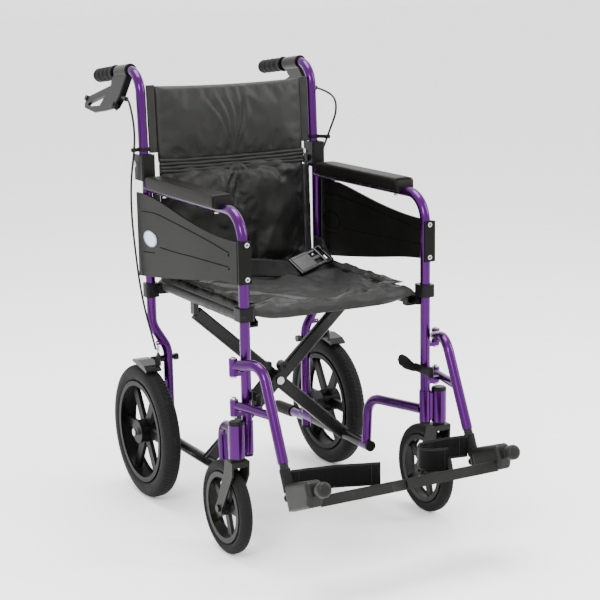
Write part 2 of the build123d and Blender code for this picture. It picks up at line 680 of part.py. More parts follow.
def footplate_tube():
    """Height-adjustable inner tube and the bolt that the foot plate turns on."""
    body = bar(on_hanger(-80), on_hanger(FOOT_REACH), BORE_R - 0.06)
    body -= bar(on_hanger(-81), on_hanger(40), 7)
    body += bar(foot(HANGER_X, -15, -FLIP_DROP), foot(HANGER_X, 110, -FLIP_DROP), PIN_R)
    return body + bar(foot(HANGER_X, -16, -FLIP_DROP), foot(HANGER_X, -12, -FLIP_DROP), 8)


KNOB_END = 151.0


def footplate():
    """Plate, its pivot block and the bumper knob in front of the block."""
    cheek = foot_slab([(12.5, -54), (104, -50), (112, -44), (112, -18), (100, 2), (12.5, 2)], 203, 240)
    cheek = soften(cheek, 5, along_axis(cheek, Axis.X))
    crest = [e for e in cheek.edges() if e.length > 70 and drop_of(e.center()) < -45]
    cheek = soften(cheek, 11, crest)
    plate = foot_plan([(206, 0), (206, PLATE_DEPTH), (48, PLATE_DEPTH), (2, PLATE_DEPTH - 24), (2, 6)],
                      -PLATE_T, 0)
    band = foot_plan([(206, PLATE_DEPTH - 10), (206, PLATE_DEPTH + 1), (48, PLATE_DEPTH + 1),
                      (2, PLATE_DEPTH - 23), (2, PLATE_DEPTH - 34), (46, PLATE_DEPTH - 10)], -17, 4)
    body = cheek + plate + band
    neck = bar(foot(HANGER_X, 100, -FLIP_DROP), foot(HANGER_X, 130, -FLIP_DROP), 9)
    knob = bar(foot(HANGER_X, KNOB_END - 26, -FLIP_DROP), foot(HANGER_X, KNOB_END, -FLIP_DROP), 15.5)
    knob = soften(knob, 9, knob.edges().filter_by(GeomType.CIRCLE))
    body += neck + knob
    return body - bar(foot(HANGER_X, 0, -FLIP_DROP), foot(HANGER_X, 110.4, -FLIP_DROP), PIN_R + FIT)


STRAP_T = 3.0


def strap(points, width, low):
    """Upright webbing along a plan route of (x, y) points, standing on height low."""
    body = Part()
    for (x0, y0), (x1, y1) in zip(points, points[1:]):
        run = Vector(x1 - x0, y1 - y0, 0)
        piece = Rot(Z=run_angle(run)) * Box(run.length, STRAP_T, width)
        body += Pos((x0 + x1) / 2, (y0 + y1) / 2, low + width / 2) * piece
    for x, y in points[1:-1]:
        body += Pos(x, y, low + width / 2) * Cylinder(STRAP_T / 2, width)
    return body


def run_angle(run):
    return degrees(atan2(run.Y, run.X))


def heel_straps():
    """Webbing behind each foot plate; the left one is folded back on itself."""
    right = [(-207, -372), (-120, -392), (-34, -424)]
    left = [(207, -372), (150, -366), (92, -372), (78, -398), (96, -420), (128, -426)]
    keep("heel_strap_right", strap(right, 48, 186))
    keep("heel_strap_left", strap(left, 48, 190))


# ---- soft parts ---------------------------------------------------------------------
def seat_cover():
    """Sling seat: a shallow sagging slab over the two rails."""
    half = SEAT_HALF
    low = [(-half, 510), (30 - half, 509.5), (0, 509), (half - 30, 509.5), (half, 510)]
    high = [(half, 529), (half - 40, 527), (0, 520), (40 - half, 527), (-half, 529)]
    edges = [Spline(*[(x, -196, z) for x, z in low]), Line((half, -196, 510), (half, -196, 529)),
             Spline(*[(x, -196, z) for x, z in high]), Line((-half, -196, 529), (-half, -196, 510))]
    return extrude(make_face(edges), amount=454, dir=(0, 1, 0))


def back_lower():
    """Lower half of the sling back."""
    return flat_yz([(262, 508), (274, 508), (284, 771), (272, 771)], -BACK_HALF, BACK_HALF)


def back_upper():
    """Upper half of the sling back, between the folding uprights."""
    return flat_yz([(272.5, 773), (284.5, 773), (294, 946), (282, 946)], -199, 199)


def lap_belt():
    """Two lengths of webbing from the rear corners of the seat to the buckle."""
    left = strap([(196, 240), (184, 190), (166, 164)], 40, 530)
    right = strap([(-196, 240), (-150, 178), (-66, 112), (20, 92), (66, 100)], 40, 530)
    return [left, right]


def belt_buckle():
    """Side-release buckle: the socket and the clip that goes into it."""
    turn = run_angle(Vector(100, 64, 0))
    socket = Pos(-16, 0, 0) * Box(62, 12, 56)
    socket = soften(socket, 3)
    clip = Pos(32, 0, 0) * Box(33, 10, 52)
    clip = soften(clip, 3)
    place = Pos(116, 132, 559) * Rot(Z=turn)
    return [place * socket, place * clip]


# ---- assembly -----------------------------------------------------------------------
def build():
    rear_centre = (REAR_X, REAR_Y, REAR_R)
    castor_centre = (CASTOR_X, CASTOR_Y + CASTOR_TRAIL, CASTOR_R)
    keep_pair("side_frame", side_frame())
    keep_pair("frame_fittings", *frame_fittings())
    keep_pair("frame_screws", *frame_screws())
    keep_pair("side_panel", side_panel())
    keep_pair("arm_pad", arm_pad())
    keep_pair("back_hinge", back_hinge())
    keep_pair("hinge_release", hinge_release())
    keep_pair("back_post", back_post())
    keep_pair("grip", grip())
    keep("brake_mount_right", *[mirror(s, about=Plane.YZ) for s in brake_mount(0)])
    keep("brake_mount_left", *brake_mount(CABLE_BOW))
    keep_pair("brake_lever", brake_lever())
    keep("brake_cable_right", brake_cable(0, -1))
    keep("brake_cable_left", brake_cable(CABLE_BOW, 1))
    cross_arms()
    keep("cross_bolt", cross_bolt())
    keep_pair("rear_wheel", spoked_wheel(118, 27, 40, AXLE_R + FIT, rear_centre, 6, 22, 9, 24))
    keep_pair("rear_tyre", tyre(REAR_R, 118.1, REAR_W, rear_centre, 10))
    keep_pair("castor_fork", castor_fork())
    keep_pair("castor_axle", castor_axle())
    keep_pair("castor_wheel", spoked_wheel(76, 17, 26, 4 + FIT, castor_centre, 5, 16, 8, 15.8))
    keep_pair("castor_tyre", tyre(CASTOR_R, 76.1, CASTOR_W, castor_centre, 7))
    keep_pair("tyre_brake", tyre_brake())
    keep_pair("brake_spring", brake_spring())
    keep_pair("hanger_pins", *hanger_pins())
    keep_pair("footrest_hanger", footrest_hanger())
    keep_pair("footrest_latch", footrest_latch())
    keep_pair("footplate_tube", footplate_tube())
    keep_pair("footplate", footplate())
    heel_straps()
    keep("seat_cover", seat_cover())
    keep("back_lower", back_lower())
    keep("back_upper", back_upper())
    keep("lap_belt", *lap_belt())
    keep("belt_buckle", *belt_buckle())


def write():
    os.makedirs("parts", exist_ok=True)
    for name, solids in NODES.items():
        shape = Compound(children=[s for group in solids for s in group.solids()])
        export_step(shape, "parts/" + name + ".step")


build()
write()
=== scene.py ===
import math

import bpy
import bmesh
import numpy as np
from mathutils import Matrix, Vector, noise


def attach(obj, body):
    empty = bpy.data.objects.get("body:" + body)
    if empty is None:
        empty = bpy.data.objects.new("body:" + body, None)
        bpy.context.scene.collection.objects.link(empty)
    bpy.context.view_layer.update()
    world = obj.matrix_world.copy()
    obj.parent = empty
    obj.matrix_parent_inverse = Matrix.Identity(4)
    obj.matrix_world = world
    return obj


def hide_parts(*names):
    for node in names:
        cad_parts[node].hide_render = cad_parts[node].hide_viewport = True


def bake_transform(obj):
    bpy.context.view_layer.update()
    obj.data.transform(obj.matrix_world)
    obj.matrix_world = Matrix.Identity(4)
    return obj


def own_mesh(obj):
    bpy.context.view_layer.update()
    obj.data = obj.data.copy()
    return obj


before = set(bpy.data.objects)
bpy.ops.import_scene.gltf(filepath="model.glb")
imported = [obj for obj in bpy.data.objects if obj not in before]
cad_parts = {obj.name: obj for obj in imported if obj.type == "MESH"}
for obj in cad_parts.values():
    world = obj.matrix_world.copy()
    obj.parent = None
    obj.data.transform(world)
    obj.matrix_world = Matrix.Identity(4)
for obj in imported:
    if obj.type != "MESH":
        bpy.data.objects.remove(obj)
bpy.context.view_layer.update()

scene = bpy.context.scene
SIDES = (("right", -1), ("left", 1))

ARM_X = .219                            # middle of an arm pad and of a grip
PAD_LOW, PAD_TOP = .7225, .752          # underside and top of an arm pad
PAD_ROUND_X, PAD_ROUND_Z = .28, .30     # how square an arm pad's cross section is
PANEL_OUT, PANEL_IN = .23605, .23175    # outer and inner face of a side panel
BADGE_Y, BADGE_Z = .221, .612           # middle of the badge and of the oval behind it
BELT_WIDTH, HEEL_WIDTH = .042, .048     # webbing


# ---- camera, light, floor ---------------------------------------------------
def make_camera():
    """Camera at the photograph's viewing angle."""
    yaw, pitch, roll = (math.radians(a) for a in (-28.92, 12.25, -0.9))
    back = Vector((math.sin(yaw) * math.cos(pitch), -math.cos(yaw) * math.cos(pitch), math.sin(pitch)))
    side = (-back).cross(Vector((0, 0, 1))).normalized()
    up = side.cross(-back)
    right = math.cos(roll) * side + math.sin(roll) * up
    top = -math.sin(roll) * side + math.cos(roll) * up
    data = bpy.data.cameras.new("camera")
    data.lens, data.sensor_width, data.clip_end = 95.25, 36, 60
    camera = bpy.data.objects.new("camera", data)
    scene.collection.objects.link(camera)
    camera.matrix_world = Matrix(((right.x, top.x, back.x, -1.6379), (right.y, top.y, back.y, -3.0032),
                                  (right.z, top.z, back.z, 1.2266), (0, 0, 0, 1)))
    scene.camera = camera


def softbox(place, aim, size, power):
    data = bpy.data.lights.new("softbox", "AREA")
    data.shape, data.size, data.size_y, data.energy = "RECTANGLE", size[0], size[1], power
    lamp = bpy.data.objects.new("softbox", data)
    scene.collection.objects.link(lamp)
    lamp.location = place
    lamp.rotation_mode = "QUATERNION"
    lamp.rotation_quaternion = (Vector(aim) - Vector(place)).to_track_quat("-Z", "Y")


def make_stage():
    """White world, pale floor and three softboxes."""
    world = bpy.data.worlds.new("studio")
    world.use_nodes = True
    world.node_tree.nodes["Background"].inputs[0].default_value = (1, 1, 1, 1)
    world.node_tree.nodes["Background"].inputs[1].default_value = 2.1
    scene.world = world
    mesh = bpy.data.meshes.new("floor")
    mesh.from_pydata([(-30, -30, -.0005), (30, -30, -.0005), (30, 30, -.0005), (-30, 30, -.0005)],
                     [], [(0, 1, 2, 3)])
    floor = bpy.data.objects.new("floor", mesh)
    scene.collection.objects.link(floor)
    mesh.materials.append(surface("floor_pale", (.97, .97, .97), .8, spec=.2, vary=.01, grain=30, bump=.02))
    softbox((-2.6, -2.4, 2.6), (0, 0, .5), (1.2, 1.2), 110)
    softbox((2.4, -1.6, 2.2), (0, 0, .5), (.7, 1.8), 60)
    softbox((0, .4, 3.2), (0, 0, .4), (2.0, 1.6), 130)


# ---- materials --------------------------------------------------------------
MADE = {}


def surface(name, color, rough, metallic=0.0, coat=0.0, coat_rough=.08, sheen=0.0, spec=.5, vary=.12,
            patch=9.0, grain=700.0, bump=.15, depth=.0003, weave=0.0, streak=None, scuff=0.0):
    """Principled material with colour patches, fine grain and optional weave, streaks and scuffs."""
    if name in MADE:
        return MADE[name]
    m = bpy.data.materials.new(name)
    m.use_nodes = True
    t = m.node_tree
    add, link = t.nodes.new, t.links.new
    shader = t.nodes["Principled BSDF"]
    put = shader.inputs
    put["Metallic"].default_value = metallic
    put["Coat Weight"].default_value = coat
    put["Coat Roughness"].default_value = coat_rough
    put["Sheen Weight"].default_value = sheen
    put["Sheen Roughness"].default_value = .4
    put["Specular IOR Level"].default_value = spec
    place = add("ShaderNodeTexCoord").outputs["Object"]
    if streak:
        stretch = add("ShaderNodeMapping")
        stretch.inputs["Scale"].default_value = streak
        link(place, stretch.inputs["Vector"])
        fine_from = stretch.outputs[0]
    else:
        fine_from = place
    broad = add("ShaderNodeTexNoise")
    broad.inputs["Scale"].default_value, broad.inputs["Detail"].default_value = patch, 5
    link(place, broad.inputs["Vector"])
    fine = add("ShaderNodeTexNoise")
    fine.inputs["Scale"].default_value, fine.inputs["Detail"].default_value = grain, 3
    link(fine_from, fine.inputs["Vector"])
    mix = add("ShaderNodeMix")
    mix.data_type = "RGBA"
    dark = tuple(c * (1 - vary) for c in color)
    light = tuple(min(1, c * (1 + vary) + .02 * vary) for c in color)
    mix.inputs["A"].default_value, mix.inputs["B"].default_value = (*dark, 1), (*light, 1)
    link(broad.outputs["Fac"], mix.inputs["Factor"])
    tint = mix.outputs["Result"]
    if scuff:
        rub = add("ShaderNodeTexNoise")
        rub.inputs["Scale"].default_value, rub.inputs["Detail"].default_value = 55, 8
        link(place, rub.inputs["Vector"])
        ramp = add("ShaderNodeMapRange")
        ramp.inputs["From Min"].default_value, ramp.inputs["From Max"].default_value = .62, .75
        ramp.inputs["To Max"].default_value = scuff
        link(rub.outputs["Fac"], ramp.inputs["Value"])
        worn = add("ShaderNodeMix")
        worn.data_type = "RGBA"
        worn.inputs["B"].default_value = tuple(min(1, c * 2.2 + .03) for c in color) + (1,)
        link(ramp.outputs[0], worn.inputs["Factor"])
        link(tint, worn.inputs["A"])
        tint = worn.outputs["Result"]
    link(tint, put["Base Color"])
    gloss = add("ShaderNodeMapRange")
    gloss.inputs["To Min"].default_value = max(.02, rough - .07)
    gloss.inputs["To Max"].default_value = min(1, rough + .07)
    link(broad.outputs["Fac"], gloss.inputs["Value"])
    link(gloss.outputs[0], put["Roughness"])
    height = fine.outputs["Fac"]
    if weave:
        bands = []
        for axis in ("X", "Z", "Y"):
            wave = add("ShaderNodeTexWave")
            wave.bands_direction = axis
            wave.inputs["Scale"].default_value = weave
            wave.inputs["Distortion"].default_value = .4
            link(place, wave.inputs["Vector"])
            bands.append(wave.outputs["Fac"])
        for other in bands[1:]:
            join = add("ShaderNodeMath")
            join.operation = "MAXIMUM" if other is bands[1] else "ADD"
            link(bands[0], join.inputs[0])
            link(other, join.inputs[1])
            bands[0] = join.outputs[0]
        both = add("ShaderNodeMath")
        both.operation = "ADD"
        link(bands[0], both.inputs[0])
        link(height, both.inputs[1])
        height = both.outputs[0]
    relief = add("ShaderNodeBump")
    relief.inputs["Strength"].default_value, relief.inputs["Distance"].default_value = bump, depth
    link(height, relief.inputs["Height"])
    link(relief.outputs[0], put["Normal"])
    MADE[name] = m
    return m


PAINT = surface("purple_paint", (.046, .0016, .078), .25, metallic=.9, coat=.2, coat_rough=.04, spec=.2,
                vary=.1, grain=2600, bump=.05, depth=.0001)
STEEL = surface("bright_steel", (.42, .42, .43), .26, metallic=1, vary=.08, grain=900, bump=.1, scuff=.2)
PLASTIC = surface("moulded_black", (.0028, .0028, .0026), .32, spec=.10, vary=.2, grain=1500, bump=.2,
                  scuff=.25)
BLACK_METAL = surface("black_enamel", (.0036, .0036, .0038), .26, coat=.06, coat_rough=.15, spec=.16, vary=.2,
                      grain=900, bump=.08, scuff=.3)
PANEL = surface("panel_plastic", (.0034, .0034, .0026), .40, spec=.07, vary=.12, grain=1300, bump=.3,
                depth=.0003, scuff=.1)
PAD = surface("pad_foam", (.0030, .0026, .0020), .42, spec=.08, vary=.15, grain=1100, bump=.35, depth=.0004,
              scuff=.1)
RUBBER = surface("grip_rubber", (.0030, .0030, .0030), .5, spec=.12, vary=.15, grain=1200, bump=.3)
CABLE = surface("cable_sheath", (.0030, .0030, .0030), .35, spec=.2, vary=.1, grain=600, bump=.05)
WHEEL = surface("wheel_nylon", (.0012, .0012, .0012), .36, spec=.06, vary=.2, grain=1200, bump=.15, scuff=.15)
CASTOR = surface("castor_nylon", (.0050, .0050, .0044), .38, spec=.13, vary=.2, grain=1200, bump=.15,
                 scuff=.2)
TYRE = surface("tyre_rubber", (.0050, .0050, .0050), .6, spec=.07, vary=.2, grain=900, bump=.35, depth=.0004,
               scuff=.25)
FOOT = surface("footplate_plastic", (.0058, .0057, .0048), .42, spec=.16, vary=.15, grain=1200, bump=.35,
               depth=.0004, scuff=.2)
NYLON = surface("nylon_cloth", (.0038, .0035, .0030), .48, sheen=.04, spec=.26, vary=.15, grain=900, bump=.2,
                depth=.0002, weave=420.0)
WEBBING = surface("webbing", (.0026, .0025, .0024), .5, sheen=.02, spec=.1, vary=.2, grain=500, bump=.5,
                  depth=.0005, weave=260.0)
BUCKLE = surface("buckle_acetal", (.0034, .0034, .0034), .26, coat=.06, spec=.22, vary=.1, grain=900,
                 bump=.06, scuff=.2)
GROOVE = surface("groove_shadow", (.0015, .0015, .0015), .8, spec=.05, vary=.1, grain=900, bump=.1)
THREAD = surface("stitch_thread", (.020, .019, .018), .5, spec=.3, vary=.1, grain=900, bump=.1)
BADGE = surface("badge_enamel", (.42, .55, .74), .22, metallic=.05, coat=.8, vary=.04, grain=900, bump=.03)
BADGE_RIM = surface("badge_rim", (.22, .24, .28), .22, metallic=.9, vary=.06, grain=900, bump=.03)

BY_NODE = {"side_frame": PAINT, "back_post": PAINT, "footrest_hanger": PAINT, "frame_fittings": PLASTIC,
           "frame_screws": STEEL, "side_panel": PANEL, "arm_pad": PAD, "back_hinge": PLASTIC,
           "hinge_release": PLASTIC, "grip": RUBBER, "brake_mount": PLASTIC, "brake_lever": PLASTIC,
           "brake_cable": CABLE, "rear_wheel": WHEEL, "rear_tyre": TYRE, "castor_fork": CASTOR,
           "castor_axle": BLACK_METAL, "castor_wheel": CASTOR, "castor_tyre": TYRE, "tyre_brake": BLACK_METAL,
           "brake_spring": STEEL, "hanger_pins": STEEL, "footrest_latch": PLASTIC,
           "footplate_tube": BLACK_METAL, "footplate": FOOT, "heel_strap": WEBBING,
           "cross_arm_front": BLACK_METAL, "cross_arm_rear": BLACK_METAL, "cross_bolt": STEEL,
           "seat_cover": NYLON, "back_lower": NYLON, "back_upper": NYLON, "lap_belt": WEBBING,
           "belt_buckle": BUCKLE}


def dress_nodes():
    """Give every node of the frame its material."""
    for name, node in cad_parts.items():
        kind = name.replace("_left", "").replace("_right", "")
        node.data.materials.clear()
        node.data.materials.append(BY_NODE[kind])
        for face in node.data.polygons:
            face.material_index = 0


# ---- mesh helpers -----------------------------------------------------------
def piece(name, points, faces, material, smooth=True):
    """Object from points and faces, with its normals outwards."""
    mesh = bpy.data.meshes.new(name)
    mesh.from_pydata([tuple(p) for p in points], [], faces)
    mesh.update()
    mesh.materials.append(material)
    mesh.polygons.foreach_set("use_smooth", [smooth] * len(mesh.polygons))
    ob = bpy.data.objects.new(name, mesh)
    scene.collection.objects.link(ob)
    tidy = bmesh.new()
    tidy.from_mesh(mesh)
    bmesh.ops.recalc_face_normals(tidy, faces=tidy.faces)
    tidy.to_mesh(mesh)
    tidy.free()
    return ob


def frames_along(path, up=None):
    """Tangent and two cross directions at each point of a path."""
    path = np.asarray(path, float)
    run = np.gradient(path, axis=0)
    run /= np.linalg.norm(run, axis=1)[:, None]
    ups = None if up is None else np.broadcast_to(np.asarray(up, float), path.shape)
    out, ref = [], np.array((0.3, 0.2, 1.0))
    for k, t in enumerate(run):
        ref = ref if up is None else ups[k]
        a = ref - t * (ref @ t)
        a /= np.linalg.norm(a)
        if up is None:
            ref = a
        out.append((t, a, np.cross(t, a)))
    return path, out


def sweep(name, path, section, material, up=None, smooth=True, scale=None):
    """Closed tube: section is a list of (along up, across) offsets, moved along path."""
    path, axes = frames_along(path, up)
    n, points, faces = len(section), [], []
    for k, (p, (t, a, b)) in enumerate(zip(path, axes)):
        s = scale[k] if scale is not None else 1.0
        points += [p + a * u * s + b * v * s for u, v in section]
    for k in range(len(path) - 1):
        for i in range(n):
            j = (i + 1) % n
            faces.append((k * n + i, k * n + j, (k + 1) * n + j, (k + 1) * n + i))
    faces += [tuple(range(n))[::-1], tuple((len(path) - 1) * n + i for i in range(n))]
    return piece(name, points, faces, material, smooth)


def circle(radius, n=12):
    turns = [2 * math.pi * k / n for k in range(n)]
    return [(radius * math.cos(a), radius * math.sin(a)) for a in turns]


def smooth_path(points, count):
    """Even points on a Catmull-Rom curve through points."""
    p = np.asarray(points, float)
    p = np.vstack([2 * p[0] - p[1], p, 2 * p[-1] - p[-2]])
    out = []
    for s in np.linspace(0, len(p) - 3 - 1e-9, count):
        k, t = int(s), s - int(s)
        a, b, c, d = p[k:k + 4]
        out.append(.5 * (2 * b + (c - a) * t + (2 * a - 5 * b + 4 * c - d) * t * t
                         + (3 * b - a - 3 * c + d) * t ** 3))
    return np.array(out)


def lathe(name, profile, centre, axis, material, n=64, smooth=True):
    """Ring or round form: profile is a closed loop of (radius, along axis) points."""
    axis = Vector(axis).normalized()
    a = axis.orthogonal().normalized()
    b = axis.cross(a)
    points, faces, m = [], [], len(profile)
    for k in range(n):
        ang = 2 * math.pi * k / n
        out = a * math.cos(ang) + b * math.sin(ang)
        points += [Vector(centre) + out * r + axis * h for r, h in profile]
    for k in range(n):
        l = (k + 1) % n
        for i in range(m):
            j = (i + 1) % m
            faces.append((k * m + i, k * m + j, l * m + j, l * m + i))
    return piece(name, points, faces, material, smooth)


def rumple(p, size, seed, stretch=(1, 1, 1), octaves=3):
    """Smooth noise from -1 to 1 at each point; size is the width of a wrinkle."""
    out = np.empty(len(p))
    for k, q in enumerate(p):
        v = Vector((q[0] * stretch[0] / size + seed * 7.3, q[1] * stretch[1] / size - seed * 3.1,
                    q[2] * stretch[2] / size + seed))
        out[k] = noise.fractal(v, 1.0, 2.0, octaves)
    return out


def coords(ob):
    co = np.empty(len(ob.data.vertices) * 3)
    ob.data.vertices.foreach_get("co", co)
    return co.reshape(-1, 3)


def set_coords(ob, co):
    ob.data.vertices.foreach_set("co", co.astype(np.float32).ravel())
    ob.data.update()


def cushion(name, nu, nv, front, rear, material):
    """Closed form from two grids of points; also gives the number of points in the first."""
    points, faces = [], []
    for grid in (front, rear):
        for i in range(nu + 1):
            for j in range(nv + 1):
                points.append(grid(2 * i / nu - 1, j / nv))
    base = (nu + 1) * (nv + 1)

    def at(i, j, layer):
        return layer * base + i * (nv + 1) + j

    for i in range(nu):
        for j in range(nv):
            faces.append((at(i, j, 0), at(i + 1, j, 0), at(i + 1, j + 1, 0), at(i, j + 1, 0)))
            faces.append((at(i, j, 1), at(i, j + 1, 1), at(i + 1, j + 1, 1), at(i + 1, j, 1)))
    for i in range(nu):
        faces.append((at(i, 0, 0), at(i, 0, 1), at(i + 1, 0, 1), at(i + 1, 0, 0)))
        faces.append((at(i, nv, 0), at(i + 1, nv, 0), at(i + 1, nv, 1), at(i, nv, 1)))
    for j in range(nv):
        faces.append((at(0, j, 0), at(0, j + 1, 0), at(0, j + 1, 1), at(0, j, 1)))
        faces.append((at(nu, j, 0), at(nu, j, 1), at(nu, j + 1, 1), at(nu, j + 1, 0)))
    return piece(name, points, faces, material), base


def settle(ob, free, swell, pressure, frames=22, cap=.012, bend=.4):
    """Cloth with spare length (swell) and a little air (pressure), held at all but the free points."""
    rest = coords(ob)
    held = [k for k in range(len(rest)) if not free[k]]
    group = ob.vertex_groups.new(name="held")
    group.add(held, 1.0, "REPLACE")
    cloth = ob.modifiers.new("Cloth", "CLOTH")
    cloth.settings.quality = 5
    cloth.settings.mass = .2
    cloth.settings.tension_stiffness = 15
    cloth.settings.compression_stiffness = 15
    cloth.settings.shear_stiffness = 5
    cloth.settings.bending_stiffness = bend
    cloth.settings.shrink_min = -swell
    cloth.settings.vertex_group_mass = "held"
    cloth.settings.use_pressure = True
    cloth.settings.uniform_pressure_force = pressure
    cloth.settings.effector_weights.gravity = 0
    cloth.collision_settings.use_collision = False
    cloth.point_cache.frame_end = frames
    for f in range(1, frames + 1):
        scene.frame_set(f)
    moved = ob.evaluated_get(bpy.context.evaluated_depsgraph_get())
    now = np.array([v.co for v in moved.data.vertices], float)
    ob.modifiers.remove(cloth)
    scene.frame_set(1)
    step = now - rest
    size = np.linalg.norm(step, axis=1)
    step *= np.minimum(1, cap / np.maximum(size, 1e-9))[:, None]
    set_coords(ob, rest + step)


def refine(ob, levels=1):
    mod = ob.modifiers.new("Subdivision", "SUBSURF")
    mod.levels = mod.render_levels = levels


def finer(ob):
    """Halve the mesh for good; gives the new points and their normals."""
    mod = ob.modifiers.new("Subdivision", "SUBSURF")
    mod.levels = 1
    source = ob.evaluated_get(bpy.context.evaluated_depsgraph_get())
    mesh = bpy.data.meshes.new_from_object(source)
    ob.modifiers.remove(mod)
    ob.data = mesh
    normals = np.empty(len(mesh.vertices) * 3)
    mesh.vertices.foreach_get("normal", normals)
    return coords(ob), normals.reshape(-1, 3)


# ---- back -------------------------------------------------------------------
def upper_front(z):
    """Front of the CAD's upper back at height z; lower_front is the same for the lower back."""
    return .2725 + (z - .773) / .173 * .0095


def lower_front(z):
    return .262 + (z - .508) / .263 * .010


# Folds of the back covers: angle from straight away, width in radians, height
UPPER_FOLDS = ((-.46, .035, .55), (-.40, .03, -.45), (-.27, .035, .8), (-.20, .03, -.7), (-.08, .025, .75),
               (-.02, .03, -.5), (.10, .025, 1.0), (.17, .03, -1.0), (.26, .04, .7), (.40, .04, -.25))
LOWER_FOLDS = ((-1.05, .12, .7), (-.80, .07, -.6), (-.52, .08, .9), (-.30, .05, -.9), (-.14, .05, .8),
               (.03, .04, -.9), (.16, .05, 1.0), (.38, .06, -.8), (.60, .09, .8), (.95, .12, -.5))


def gathers(co, centre, reach, seed, folds):
    """Folds that fan out from a point on the back, positive forwards; folds are (angle, width, height)."""
    dx, dz = co[:, 0] - centre[0], co[:, 2] - centre[1]
    r = np.hypot(dx, dz)
    angle = np.arctan2(dx, np.abs(dz) + .004) + .05 * np.sin(r * 45 + seed)
    fold = np.zeros(len(co))
    for a, w, h in folds:
        wide = np.sqrt(w * w + (.004 / np.maximum(r, .01)) ** 2)
        fold += h * np.exp(-((angle - a) / wide) ** 2)
    return fold * np.exp(-(r / reach) ** 4) * np.minimum(1, r / .025)


def back_upper_cover():
    """Padded upper half of the back, gathered at the middle of its lower edge."""
    def front(u, v):
        x, z = .1865 * u, .7735 + v * (.9455 - .0045 * (1 - u * u) - .7735)
        edge = (1 - abs(u) ** 7) ** .5 * (1 - abs(2 * v - 1) ** 6) ** .5
        return (x, upper_front(z) + .003 - .0135 * edge, z)

    def rear(u, v):
        x, z = .1865 * u, .7735 + v * (.9455 - .0045 * (1 - u * u) - .7735)
        edge = (1 - abs(u) ** 9) ** .5 * (1 - abs(2 * v - 1) ** 9) ** .5
        return (x, upper_front(z) + .006 + .006 * edge, z)

    ob, base = cushion("back_upper_cover", 88, 40, front, rear, NYLON)
    co = coords(ob)
    index = np.arange(len(co))
    inner = (np.abs(co[:, 0]) < .179) & (co[:, 2] > .783) & (co[:, 2] < .936) & (index < base)
    settle(ob, inner, swell=.006, pressure=.35, cap=.005, bend=2.5)
    co, normal = finer(ob)
    face = normal[:, 1] < -.15
    q = co[face]
    fade = np.clip((.184 - np.abs(q[:, 0])) / .02, 0, 1) * np.clip((.946 - q[:, 2]) / .012, 0, 1)
    fan = gathers(q, centre=(.004, .779), reach=.155, seed=1, folds=UPPER_FOLDS)
    soft = rumple(q, .11, 3, (.6, 1, 1.3), 2)
    small = rumple(q, .028, 8, (1, 1, .8), 3) * np.exp(-((q[:, 2] - .787) / .016) ** 2)
    co[face, 1] -= fade * (.0030 * fan + .0020 * soft) + .0014 * small
    set_coords(ob, co)
    return ob


def back_lower_cover():
    """Padded lower half of the back, gathered at the middle of its upper edge."""
    def front(u, v):
        x, z = .1855 * u, .5105 + v * .2600
        edge = (1 - abs(u) ** 8) ** .5 * (1 - abs(2 * v - 1) ** 8) ** .5
        return (x, lower_front(z) + .003 - .010 * edge, z)

    def rear(u, v):
        x, z = .1855 * u, .5105 + v * .2600
        edge = (1 - abs(u) ** 9) ** .5 * (1 - abs(2 * v - 1) ** 9) ** .5
        return (x, lower_front(z) + .0055 + .006 * edge, z)

    ob, base = cushion("back_lower_cover", 88, 56, front, rear, NYLON)
    co = coords(ob)
    index = np.arange(len(co))
    inner = (np.abs(co[:, 0]) < .179) & (co[:, 2] > .517) & (co[:, 2] < .744) & (index < base)
    set_coords(ob, co - np.outer(.0016 * rumple(co, .09, 11) * inner, (0, 1, 0)))
    settle(ob, inner, swell=.028, pressure=.3, cap=.009, bend=1.2)
    co, normal = finer(ob)
    face = normal[:, 1] < -.15
    q = co[face]
    fade = np.clip((.183 - np.abs(q[:, 0])) / .025, 0, 1) * np.clip((.768 - q[:, 2]) / .012, 0, 1)
    fan = gathers(q, centre=(.006, .766), reach=.085, seed=4, folds=LOWER_FOLDS)
    tuft = np.exp(-((q[:, 2] - .728) / .024) ** 2) * np.exp(-((q[:, 0] - .012) / .070) ** 2)
    small = rumple(q, .020, 12, (1.2, 1, .7), 2)
    broad = rumple(q, .085, 5, (.9, 1, .8), 2) + .5 * rumple(q, .038, 9, (1, 1, .7), 2)
    broad += .45 * (.4 - np.abs(rumple(q, .07, 15, (1.1, 1, .6), 2)) * 2)
    co[face, 1] -= fade * (.0030 * fan + .0036 * tuft * small + .0042 * broad)
    set_coords(ob, co)
    return ob


